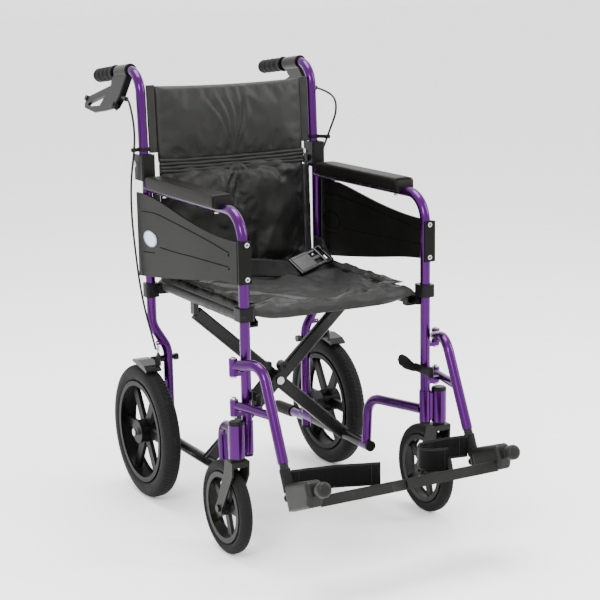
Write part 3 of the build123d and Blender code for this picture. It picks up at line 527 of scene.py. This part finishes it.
def back_trim():
    """Piped ridges between the two halves, and the sleeves that the uprights run in."""
    made = []
    for k, z in enumerate((.7535, .7615, .7695, .7775)):
        xs = np.linspace(-.185, .185, 120)
        base = upper_front if k == 3 else lower_front
        path = np.array([(x, base(z) - .001 + .0004 * math.sin(x * 110 + k),
                          z - .0025 * (1 - (x / .185) ** 2)
                          + .0005 * math.sin(x * 60 + 2 * k)) for x in xs])
        path[:, 1] -= .0006 * rumple(path, .020, 20 + k)
        section = [(.0050 * math.cos(a), .0050 * math.sin(a)) for a in np.linspace(0, 2 * math.pi, 14)[:-1]]
        rib = sweep(f"back_rib_{k}", path, section, NYLON)
        made.append((rib, k == 3))
    for side, g in SIDES:
        for upper in (True, False):
            low, high = (.797, .9475) if upper else (.522, .7425)
            base = upper_front if upper else lower_front
            rows = 110

            def point(u, v, depth, base=base, low=low, high=high, g=g, upper=upper):
                z = low + (high - low) * v
                x = (.1958 if upper else .1945) + (.0108 if upper else .0092) * u
                bulge = (1 - u ** 4) ** .5
                ruffle = 0 if upper else .0024 * noise.noise(Vector((u * .8, z * 60 + u, g)))
                ruffle += .0012 * noise.noise(Vector((u, z * 30, 5 + g)))
                y = base(z) + .005 + depth * (.0055 * bulge) + ruffle * (depth < 0) * bulge
                return (g * x, y, z)

            strip, _ = cushion(f"back_sleeve_{'upper' if upper else 'lower'}_{side}", 8, rows,
                               lambda u, v, f=point: f(u, v, -1), lambda u, v, f=point: f(u, v, 1), NYLON)
            made.append((strip, upper))
    return made


def seam(name, path, material, radius=.0007, pitch=.0045):
    """Row of short stitches along a path."""
    path = np.asarray(path, float)
    gaps = np.linalg.norm(np.diff(path, axis=0), axis=1)
    along = np.concatenate([[0], np.cumsum(gaps)])
    count = int(along[-1] / pitch)
    points, faces = [], []
    for k in range(count):
        ends = [np.array([np.interp(s, along, path[:, c]) for c in range(3)])
                for s in (k * pitch, k * pitch + pitch * .68)]
        run = ends[1] - ends[0]
        run /= np.linalg.norm(run)
        a = np.cross(run, (0.3, 0.5, 0.8))
        a /= np.linalg.norm(a)
        b = np.cross(run, a)
        start = len(points)
        for end in ends:
            points += [end + radius * (a * c + b * s) for c, s in ((1, 0), (0, 1), (-1, 0), (0, -1))]
        for i in range(4):
            j = (i + 1) % 4
            faces.append((start + i, start + j, start + 4 + j, start + 4 + i))
        faces += [(start, start + 3, start + 2, start + 1), (start + 4, start + 5, start + 6, start + 7)]
    return piece(name, points, faces, material, smooth=False)


# ---- seat -------------------------------------------------------------------
def seat_top(x, y):
    """Height of the sagging seat."""
    return .5205 + .0075 * (abs(x) / .2) ** 2.2 - .0015 * math.exp(-((y - .03) / .16) ** 2)


def seat_cushion():
    """Padded sling seat with a puckered front edge and its hem below."""
    def top(u, v):
        x, y = .2005 * u, -.1975 + .454 * v
        edge = (1 - abs(u) ** 14) ** .5 * (1 - (1 - min(1, v / .045)) ** 2.2) ** .5
        return (x, y, .5085 + (seat_top(x, y) + .001 - .5085) * max(edge, 0))

    def under(u, v):
        x, y = .2005 * u, -.1975 + .454 * v
        edge = (1 - abs(u) ** 10) ** .5 * (1 - (1 - min(1, v / .02)) ** 2.4) ** .5
        drop = .0125 * math.exp(-(v / .085) ** 3) * (1 - abs(u / .93) ** 6 if abs(u) < .93 else 0)
        return (x, y, .5083 - (.0022 + drop) * edge)

    ob, base = cushion("seat_cushion", 92, 104, top, under, NYLON)
    co = coords(ob)
    index = np.arange(len(co))
    inner = (np.abs(co[:, 0]) < .192) & (co[:, 1] > -.186) & (co[:, 1] < .25) & (index < base)
    start = .0012 * rumple(co, .08, 31, (1, .5, 1))
    set_coords(ob, co + np.outer(start * inner, (0, 0, 1)))
    settle(ob, inner, swell=.03, pressure=.3, cap=.007, bend=1.0)
    co, normal = finer(ob)
    up = np.clip(normal[:, 2] / .3, 0, 1)
    ahead = np.clip(-normal[:, 1] / .3, 0, 1) * (co[:, 1] < -.15)
    near = np.exp(-((co[:, 1] + .17) / .035) ** 2)
    pucker = near * rumple(co, .042, 33, (1, .30, .2), 2)
    slant = np.column_stack([co[:, 0] + .35 * co[:, 1], co[:, 1] - .35 * co[:, 0], co[:, 2]])
    folds = rumple(co, .10, 35, (1.0, .45, 0), 2) + .5 * rumple(slant, .045, 36, (1, .35, 0), 2)
    creases = .5 - np.abs(rumple(slant, .085, 38, (.55, 1.2, 0), 2)) * 2.2
    folds += .55 * np.clip(creases, -.4, 1) * (.5 + rumple(co, .12, 39, (1, 1, 0), 1))
    side = np.clip((.2 - np.abs(co[:, 0])) / .012, 0, 1)
    crease = np.exp(-((co[:, 1] + .158 + .004 * np.sin(co[:, 0] * 30)) / .0030) ** 2)
    co[:, 2] += up * side * (.0036 * pucker + .0040 * folds - .0036 * crease)
    co[:, 1] -= ahead * side * (.0042 * rumple(co, .048, 37, (1, .3, .55), 2))
    hem = np.exp(-((co[:, 2] - .500) / .0035) ** 2) * ahead
    co[:, 1] += .0016 * hem
    set_coords(ob, co)
    return ob


def seat_edge_strip(side, g):
    """Crumpled flap that lies along the seat rail."""
    def point(u, v, depth):
        x, y = .181 + .017 * u, -.150 + .385 * v
        q = np.array([[x * g, y, .53]])
        wave = rumple(q, .020, 41 + g, (1, .6, 1), 3)[0]
        wide = rumple(q, .05, 43 + g, (1, .6, 1), 2)[0]
        taper = (1 - abs(u) ** 4) ** .5 * (1 - abs(2 * v - 1) ** 10) ** .5
        z = seat_top(x, y) + .001 + taper * (.0042 + .0055 * wave + .003 * wide) * (1 if depth > 0 else .25)
        return (g * (x + .004 * wide), y + .003 * wave, max(z, .519))

    ob, _ = cushion(f"seat_flap_{side}", 14, 120,
                    lambda u, v: point(u, v, 1), lambda u, v: point(u, v, 0), NYLON)
    refine(ob)
    return ob


def rail_sleeve(side, g):
    """Cloth tunnel of the seat round its rail."""
    ys = np.linspace(-.166, .232, 90)
    path = [(g * .194, y, .497) for y in ys]
    scale = 1 + .05 * rumple([(g, y, 0) for y in ys], .018, 51 + g)
    return sweep(f"seat_rail_sleeve_{side}", path, circle(.0122, 20), NYLON, scale=scale)


# ---- straps, belt, buckle ---------------------------------------------------
def webbing(name, route, width, thick, start_up, end_up, wave=.002, seed=1):
    """Flat band whose middle runs through the route, turned from one edge direction to the other."""
    path = smooth_path(route, 26 * (len(route) - 1))
    path[:, 0] += wave * rumple(path, .04, seed)
    path[:, 1] += wave * rumple(path, .04, seed + 1)
    half, t = width / 2, thick / 2
    section = []
    for k in range(9):
        section.append((half * (k / 4 - 1), t * (1.35 if k in (1, 7) else 1) * (.55 if k in (0, 8) else 1)))
    section += [(u, -v) for u, v in reversed(section)]
    turn = np.linspace(0, 1, len(path))[:, None] ** 1.6
    ups = (1 - turn) * np.array(start_up, float) + turn * np.array(end_up, float)
    return sweep(name, path, section, material=WEBBING, up=ups), path, ups


def band_stitches(name, path, ups, width, share, thick, ends=()):
    """Stitch rows along both edges of a band, and across it at some places, on both faces."""
    made = []
    path, axes = frames_along(path, ups)
    for face in (-1, 1):
        for edge in (-1, 1):
            line = [p + a * edge * width / 2 * share + b * face * thick / 2
                    for p, (t, a, b) in zip(path, axes)]
            row = ("a" if face < 0 else "b") + ("a" if edge < 0 else "b")
            made.append(seam(f"{name}_row_{row}", line, THREAD))
        for k, at in enumerate(ends):
            p, (t, a, b) = path[at], axes[at]
            line = [p + a * s * width / 2 * share + b * face * thick / 2 for s in np.linspace(-1, 1, 12)]
            made.append(seam(f"{name}_end_{'a' if face < 0 else 'b'}{k}", line, THREAD))
    return made


# Middle of the buckle, the way the belt runs through it, and the way its edge points
BUCKLE_AT = np.array((.104, .094, .5475))
BUCKLE_RUN = np.array((.958, .164, .235))
BUCKLE_UP = np.array((-.269, .806, .528))


def lap_belt_pieces():
    """Both lengths of the belt, from the rear corners of the seat to the buckle, with their stitches."""
    made = []
    low, high = BUCKLE_AT - .047 * BUCKLE_RUN, BUCKLE_AT + .040 * BUCKLE_RUN
    right = [(-.196, .238, .549), (-.150, .184, .546), (-.075, .128, .5445), (-.008, .098, .541),
             tuple(low - .014 * BUCKLE_RUN), tuple(low)]
    left = [(.197, .238, .553), (.192, .190, .556), (.172, .142, .560),
            tuple(high + .010 * BUCKLE_RUN), tuple(high)]
    for name, route, seed in (("lap_belt_left", left, 3), ("lap_belt_right", right, 5)):
        ob, path, ups = webbing(name, route, BELT_WIDTH, .0022, (-.15, .25, 1), BUCKLE_UP, .002, seed)
        made.append(ob)
        made += band_stitches(name, path, ups, BELT_WIDTH, share=.86, thick=.0024)
    return made


def bevelled_box(name, size, centre, material, bevel=.002, segments=3, place=None):
    """Box with rounded edges, moved by the matrix place."""
    sx, sy, sz = (s / 2 for s in size)
    bm = bmesh.new()
    bmesh.ops.create_cube(bm, size=1)
    for v in bm.verts:
        v.co = Vector((v.co.x * 2 * sx, v.co.y * 2 * sy, v.co.z * 2 * sz))
    bmesh.ops.bevel(bm, geom=list(bm.edges) + list(bm.verts), offset=bevel, segments=segments, profile=.7,
                    affect="EDGES")
    bmesh.ops.translate(bm, verts=bm.verts, vec=centre)
    if place is not None:
        bmesh.ops.transform(bm, matrix=place, verts=bm.verts)
    mesh = bpy.data.meshes.new(name)
    bm.to_mesh(mesh)
    bm.free()
    mesh.materials.append(material)
    mesh.polygons.foreach_set("use_smooth", [True] * len(mesh.polygons))
    ob = bpy.data.objects.new(name, mesh)
    scene.collection.objects.link(ob)
    ob.modifiers.new("Weighted", "WEIGHTED_NORMAL")
    return ob


def buckle_pieces():
    """Side-release buckle: hollow socket, sprung prongs and the bar the webbing loops round."""
    run, rise = Vector(BUCKLE_RUN).normalized(), Vector(BUCKLE_UP).normalized()
    under = rise.cross(run)
    place = Matrix.Translation(BUCKLE_AT) @ Matrix((run, under, rise)).transposed().to_4x4()
    make = []

    def box(name, size, centre, bevel=.0015):
        make.append(bevelled_box(name, size, centre, BUCKLE, bevel, place=place))

    box("buckle_shell_top", (.046, .004, .048), (-.020, -.0035, 0), .0014)
    box("buckle_shell_under", (.046, .003, .048), (-.020, .0045, 0), .0012)
    box("buckle_wall_high", (.046, .010, .005), (-.020, 0, .0235), .002)
    box("buckle_wall_low", (.046, .010, .005), (-.020, 0, -.0235), .002)
    box("buckle_web_bar", (.006, .010, .052), (-.046, 0, 0), .0025)
    box("buckle_prong_high", (.030, .006, .008), (.012, 0, .0205), .002)
    box("buckle_prong_low", (.030, .006, .008), (.012, 0, -.0205), .002)
    box("buckle_guide", (.032, .005, .010), (.010, 0, 0), .002)
    box("buckle_yoke", (.008, .009, .052), (.028, 0, 0), .003)
    box("buckle_end_bar", (.005, .008, .052), (.043, 0, 0), .002)
    box("buckle_side_high", (.022, .008, .005), (.035, 0, .0245), .002)
    box("buckle_side_low", (.022, .008, .005), (.035, 0, -.0245), .002)
    for k in range(2):
        box(f"buckle_rib_{k}", (.040, .0012, .0014), (-.020, -.0057, -.019 + .038 * k), .0005)
    return make


# ---- arm pads and grips -----------------------------------------------------
def arm_pad_piece(side, g):
    """Arm pad: stations are (y, share of the height, share of the width)."""
    centre, low, top = g * ARM_X, PAD_LOW, PAD_TOP
    stations = [(-.1238, .0, .72), (-.1225, .35, .86), (-.119, .72, .95), (-.1145, .92, .985),
                (-.109, .985, 1), (-.100, 1.0, 1), (-.05, 1.0, 1), (.05, 1, 1), (.15, 1, 1),
                (.215, 1, 1), (.223, .97, .99), (.228, .88, .96), (.2305, .6, .88)]
    points, faces = [], []
    for y, rise, wide in stations:
        half = .0243 * wide
        height = low + .010 + (top - low - .010) * rise
        ring = []
        for k in range(25):
            a = math.pi * k / 24
            c, s = math.cos(a), math.sin(a)
            x = half * math.copysign(abs(c) ** PAD_ROUND_X, c)
            z = low + .004 + (height - low - .004) * abs(s) ** PAD_ROUND_Z
            ring.append((centre + x, y, z))
        ring += [(centre - half * .93, y, low), (centre - half * .4, y, low - .0004),
                 (centre + half * .4, y, low - .0004), (centre + half * .93, y, low)]
        points += ring
    n = len(ring)
    for k in range(len(stations) - 1):
        for i in range(n):
            j = (i + 1) % n
            faces.append((k * n + i, k * n + j, (k + 1) * n + j, (k + 1) * n + i))
    faces += [tuple(range(n)), tuple((len(stations) - 1) * n + i for i in range(n))[::-1]]
    ob = piece(f"arm_pad_cover_{side}", points, faces, PAD)
    refine(ob, 2)
    return ob


def pad_piping(side, g):
    """Raised seams round the front and the rear end of the arm pad."""
    made, low = [], PAD_LOW
    for k, (y, half, top) in enumerate(((-.1165, .0237, .7502), (.2265, .0236, .7492))):
        path = []
        for i in range(33):
            a = math.pi * i / 32
            c, s = math.cos(a), math.sin(a)
            path.append((g * ARM_X + (half + .0004) * math.copysign(abs(c) ** PAD_ROUND_X, c), y,
                         low + .004 + (top - low - .004 + .0004) * abs(s) ** PAD_ROUND_Z))
        made.append(sweep(f"arm_pad_seam_{k}_{side}", path, circle(.0009, 8), PAD))
    return made


def grip_piece(side, g):
    """Ribbed sleeve on the sloping handle, with a collar at its front end."""
    y0, y1 = .420, .5295

    def centre(y):
        return Vector((g * ARM_X, y, .9845 - .1161 * (y - .2895)))

    start, end = centre(y0), centre(y1)
    axis = (end - start).normalized()
    length = (end - start).length
    profile = [(.0118, .0), (.0172, .0), (.0178, .0012), (.0178, .0045), (.0164, .0060)]
    for k in range(90):
        s = .0065 + (length - .0125) * k / 89
        slow = .0009 * math.cos(2 * math.pi * 4 * (k / 89))
        fast = .00045 * math.cos(2 * math.pi * s / .0031)
        profile.append((.0155 + slow + fast, s))
    profile += [(.0158, length - .0045), (.0150, length - .0015), (.0125, length), (.0001, length + .0002),
                (.0001, length - .001), (.0118, length - .002)]
    return lathe(f"grip_sleeve_{side}", profile, start, axis, RUBBER, 56)


# ---- tyres ------------------------------------------------------------------
def tyre_piece(name, centre, radius, width, inner, blocks, depth):
    """Tyre with smooth walls, moulded rings and small tread blocks."""
    half = width / 2
    shape = [(inner, -half * .62), (inner + .004, -half * .86), (inner + .009, -half * .97),
             (inner + (radius - inner) * .45, -half), (radius - .010, -half * .93),
             (radius - .0065, -half * .86)]
    shape += [(radius - .0038, -half * .74), (radius - .0022, -half * .62), (radius - .0016, -half * .56),
              (radius - .0007, -half * .40), (radius - .0004, -half * .34), (radius, -half * .16),
              (radius, -half * .08)]
    shape += [(r, -h) for r, h in reversed(shape)]
    n, m = blocks * 4, len(shape)
    points, faces = [], []
    for k in range(n):
        a = 2 * math.pi * k / n
        for i, (r, h) in enumerate(shape):
            band = abs(h) / half
            notch = 0.0
            if .36 < band < .90 and (k % 4 in (0, 1)):
                notch = depth
            if band < .30 and ((k + 2) % 4 in (0, 1)):
                notch = depth * .7
            rr = r - notch
            points.append((centre[0] + h, centre[1] + rr * math.cos(a), centre[2] + rr * math.sin(a)))
    for k in range(n):
        l = (k + 1) % n
        for i in range(m):
            j = (i + 1) % m
            faces.append((k * m + i, k * m + j, l * m + j, l * m + i))
    return piece(name, points, faces, TYRE)


# ---- small parts ------------------------------------------------------------
def spring_piece(side, g):
    """Coil of the tyre brake's return spring."""
    a, b = Vector((g * .2115, .2555, .3575)), Vector((g * .220, .238, .344))
    axis = (b - a).normalized()
    u = axis.orthogonal().normalized()
    w = axis.cross(u)
    turns, path = 11, []
    for k in range(turns * 12 + 1):
        s = k / (turns * 12)
        r = .0026 * min(1, 8 * s, 8 * (1 - s)) + .0002
        path.append(a.lerp(b, s) + u * r * math.cos(2 * math.pi * turns * s)
                    + w * r * math.sin(2 * math.pi * turns * s))
    return sweep(f"brake_spring_coil_{side}", [tuple(p) for p in path], circle(.00045, 6), STEEL)


def cable_piece(side, g, bow):
    """Brake cable from the lever to the tyre brake; bow is how far it stands out before the upright."""
    lean = math.radians(24)

    def plane(y, drop):
        return Vector((.219 + math.sin(lean) * drop, y, .974 - math.cos(lean) * drop))

    back, front = plane(.334, .060), plane(.308, .062)
    ahead = (front - back).normalized()
    route = [tuple(front), tuple(front + ahead * (.010 + .4 * bow)), (.246, .283 - bow, .901),
             (.244, .274 - bow, .868), (.243, .273 - .6 * bow, .832), (.243, .283 - .3 * bow, .792),
             (.244, .299, .742), (.244, .305, .690), (.244, .303, .636), (.243, .294, .578),
             (.242, .284, .522), (.241, .270, .474), (.238, .256, .430), (.232, .244, .390),
             (.226, .236, .352)]
    curve = bpy.data.curves.new("cable_line", "CURVE")
    curve.dimensions = "3D"
    line = curve.splines.new("NURBS")
    line.points.add(len(route) - 1)
    for p, q in zip(line.points, route):
        p.co = (g * q[0], q[1], q[2], 1)
    line.order_u, line.use_endpoint_u, line.resolution_u = 3, True, 10
    holder = bpy.data.objects.new("cable_line", curve)
    scene.collection.objects.link(holder)
    mesh = bpy.data.meshes.new_from_object(holder)
    path = np.array([v.co for v in mesh.vertices])
    bpy.data.objects.remove(holder)
    return sweep(f"brake_cable_sheath_{side}", path, circle(.0025, 10), CABLE)


def groove_lines(side, g):
    """Moulded lines and end dots on both faces of the side panel, an inner oval and a corner line."""
    made = []
    lines = [[(.263, .669), (.191, .673), (.086, .666), (-.062, .653), (-.168, .641)],
             [(.170, .600), (.080, .602), (.015, .605), (-.075, .608), (-.166, .611)],
             [(.262, .577), (.230, .580), (.199, .583)]]
    for face, x in (("out", PANEL_OUT), ("in", PANEL_IN)):
        for k, line in enumerate(lines):
            path = smooth_path([(g * x, y, z) for y, z in line], 60)
            made.append(sweep(f"panel_line_{face}_{k}_{side}", path, circle(.0011, 8), GROOVE))
        for k, (y, z) in enumerate(((-.169, .636), (-.170, .607))):
            profile = [(.0001, -.0006), (.0026, -.0006), (.0030, 0), (.0026, .0006), (.0001, .0006)]
            made.append(lathe(f"panel_dot_{face}_{k}_{side}", profile, (g * x, y, z), (1, 0, 0), GROOVE, 20))
    oval = [(g * PANEL_IN, BADGE_Y + .040 * math.cos(a), BADGE_Z + .0195 * math.sin(a))
            for a in np.linspace(0, 2 * math.pi, 72)]
    made.append(sweep(f"panel_oval_{side}", oval, circle(.0010, 8), GROOVE))
    path = [(g * PANEL_OUT, -.2075, z) for z in np.linspace(.583, .667, 12)]
    made.append(sweep(f"panel_corner_line_{side}", path, circle(.0007, 8), GROOVE))
    return made


def badge(side, g):
    """Plain oval disc with a raised rim."""
    made = []
    for name, scale, high, material in (("disc", .93, .0012, BADGE), ("rim", 1.0, .0020, BADGE_RIM)):
        n, points, faces = 64, [], []
        rings = [(1.0, 0), (1.0, .6), (.97, 1.0), (.90, 1.0), (.86, .55)]
        if name == "disc":
            rings = [(1.0, 0), (1.0, .8), (.96, 1.0), (.0, 1.05)]
        for r, h in rings:
            for k in range(n):
                a = 2 * math.pi * k / n
                points.append((g * (.2359 + high * h), BADGE_Y + .036 * r * scale * math.cos(a),
                               BADGE_Z + .0185 * r * scale * math.sin(a)))
        for k in range(len(rings) - 1):
            for i in range(n):
                j = (i + 1) % n
                faces.append((k * n + i, k * n + j, (k + 1) * n + j, (k + 1) * n + i))
        if name == "disc":
            faces.append(tuple(range(n)))
        made.append(piece(f"badge_{name}_{side}", points, faces, material))
    return made


def screw_sockets(side, g):
    """Dark hexagonal recesses in the bright screw heads."""
    made = []
    spots = [((g * ARM_X, -.2181, z), (0, -1, 0)) for z in (.6618, .5912)]
    for k, (at, axis) in enumerate(spots):
        profile = [(.0001, .0002), (.0022, .0002), (.0024, .0000), (.0022, -.0004), (.0001, -.0004)]
        made.append(lathe(f"screw_socket_{k}_{side}", profile, at, axis, GROOVE, 6, smooth=False))
    return made


# ---- footrests --------------------------------------------------------------
# Lower end of the sliding tube, and the foot plate's directions: towards the toes, down from the sole
FOOT_END, FORE, DOWN = (0, -.39952, .15828), (0, -.92388, .38268), (0, -.38268, -.92388)


def on_foot(g, x, fore, down):
    """Point of the footrest's own frame, counted from the lower end of the sliding tube."""
    return tuple(Vector((g * x, 0, 0)) + Vector(FOOT_END) + Vector(FORE) * fore + Vector(DOWN) * down)


def foot_details(side, g):
    """Moulded rim, ridge and tread lines of the foot plate, and its rivet."""
    made = []
    rim = [on_foot(g, x, f, -.0172)
           for x, f in ((.2035, .0985), (.120, .0985), (.049, .0985), (.0035, .0755))]
    made.append(sweep(f"plate_rim_{side}", smooth_path(rim, 40), circle(.0009, 8), FOOT))
    rim = [on_foot(g, x, f, -.0142) for x, f in ((.2020, .060), (.120, .058), (.050, .056), (.0060, .044))]
    made.append(sweep(f"plate_ridge_{side}", smooth_path(rim, 40), circle(.0011, 8), FOOT))
    for k in range(5):
        f = .010 + .009 * k
        line = [on_foot(g, x, f, -.0141) for x in (.196, .120, .016)]
        made.append(sweep(f"plate_tread_{k}_{side}", smooth_path(line, 24), circle(.0008, 8), FOOT))
    axis = Vector(DOWN) * -1
    rivet = [(.0001, .0022), (.0022, .0018), (.0036, .0004), (.0036, -.001), (.0001, -.001)]
    made.append(lathe(f"plate_rivet_{side}", rivet, on_foot(g, .150, .080, -.0140), axis, STEEL, 20))
    return made


def strap_loop(side, g):
    """Loop of the heel strap round the lower tube."""
    run = Vector((0, -.41469, -.90996))
    high = Vector((g * .221, -.360, .245)) + run * .010
    length = HEEL_WIDTH
    profile = [(.0098, 0), (.0112, .0006), (.0116, .004), (.0114, length / 2), (.0116, length - .004),
               (.0112, length - .0006), (.0098, length)]
    return lathe(f"heel_strap_loop_{side}", profile, high, run, WEBBING, 40)


# ---- assembly ---------------------------------------------------------------
def put(ob, body, slot, *nodes):
    """Hide the nodes a piece stands for and attach the piece to the body it moves with; slot is not used."""
    if nodes:
        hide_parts(*nodes)
    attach(ob, body)
    return ob


def build():
    dress_nodes()
    upper, lower = back_upper_cover(), back_lower_cover()
    put(upper, "back_right", "nylon", "back_upper")
    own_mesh(upper)
    put(lower, "right_frame", "nylon", "back_lower")
    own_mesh(lower)
    for ob, is_upper in back_trim():
        put(ob, "back_right" if is_upper else "right_frame", "nylon")
        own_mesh(ob)
    seat = seat_cushion()
    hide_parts("seat_cover")
    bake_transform(seat)
    for ob in lap_belt_pieces():
        put(ob, "right_frame", "webbing", *(("lap_belt",) if "row" not in ob.name else ()))
        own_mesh(ob)
    for ob in buckle_pieces():
        put(ob, "right_frame", "buckle_plastic", "belt_buckle")
        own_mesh(ob)
    heel = {"right": [(-.2108, -.3745, .210), (-.165, -.383, .210), (-.120, -.392, .210),
                      (-.034, -.424, .210)],
            "left": [(.2108, -.3745, .214), (.150, -.366, .214), (.100, -.368, .214), (.079, -.392, .214),
                     (.090, -.415, .214), (.126, -.426, .214)]}
    for side, g in SIDES:
        rail_body = "arm_1" if g > 0 else "arm_2"
        put(seat_edge_strip(side, g), rail_body, "nylon")
        put(rail_sleeve(side, g), rail_body, "nylon")
        pad = arm_pad_piece(side, g)
        put(pad, f"{side}_frame", "pad_foam", f"arm_pad_{side}")
        for ob in pad_piping(side, g):
            put(ob, f"{side}_frame", "pad_foam")
        put(grip_piece(side, g), f"back_{side}", "grip_rubber", f"grip_{side}")
        put(tyre_piece(f"rear_tyre_tread_{side}", (g * .242, .268, .155),
                       radius=.155, width=.042, inner=.1181, blocks=96, depth=.0016),
            f"wheel_{side}", "tyre_rubber", f"rear_tyre_{side}")
        put(tyre_piece(f"castor_tyre_tread_{side}", (g * .2485, -.1595, .100),
                       radius=.100, width=.028, inner=.0761, blocks=72, depth=.0008),
            f"castor_{side}", "tyre_rubber", f"castor_tyre_{side}")
        put(spring_piece(side, g), f"{side}_frame", "steel", f"brake_spring_{side}")
        cable = cable_piece(side, g, bow=.062 if g > 0 else 0.0)
        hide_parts(f"brake_cable_{side}")
        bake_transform(cable)
        strap, path, ups = webbing(f"heel_strap_band_{side}", heel[side], HEEL_WIDTH, .0026,
                                   (0, 0, 1), (0, 0, 1), wave=.0015, seed=7)
        put(strap, f"tube_{side}", "webbing", f"heel_strap_{side}")
        for ob in band_stitches(f"heel_strap_{side}", path, ups, HEEL_WIDTH, share=.86, thick=.0030,
                                ends=(8, -6)):
            put(ob, f"tube_{side}", "webbing")
        for ob in foot_details(side, g):
            put(ob, f"plate_{side}", "footplate_plastic")
        put(strap_loop(side, g), f"tube_{side}", "webbing")
        for ob in screw_sockets(side, g):
            put(ob, f"{side}_frame", "steel")
        for ob in groove_lines(side, g):
            put(ob, f"{side}_frame", "panel_plastic")
        for ob in badge(side, g):
            put(ob, f"{side}_frame", "steel")


make_camera()
make_stage()
build()
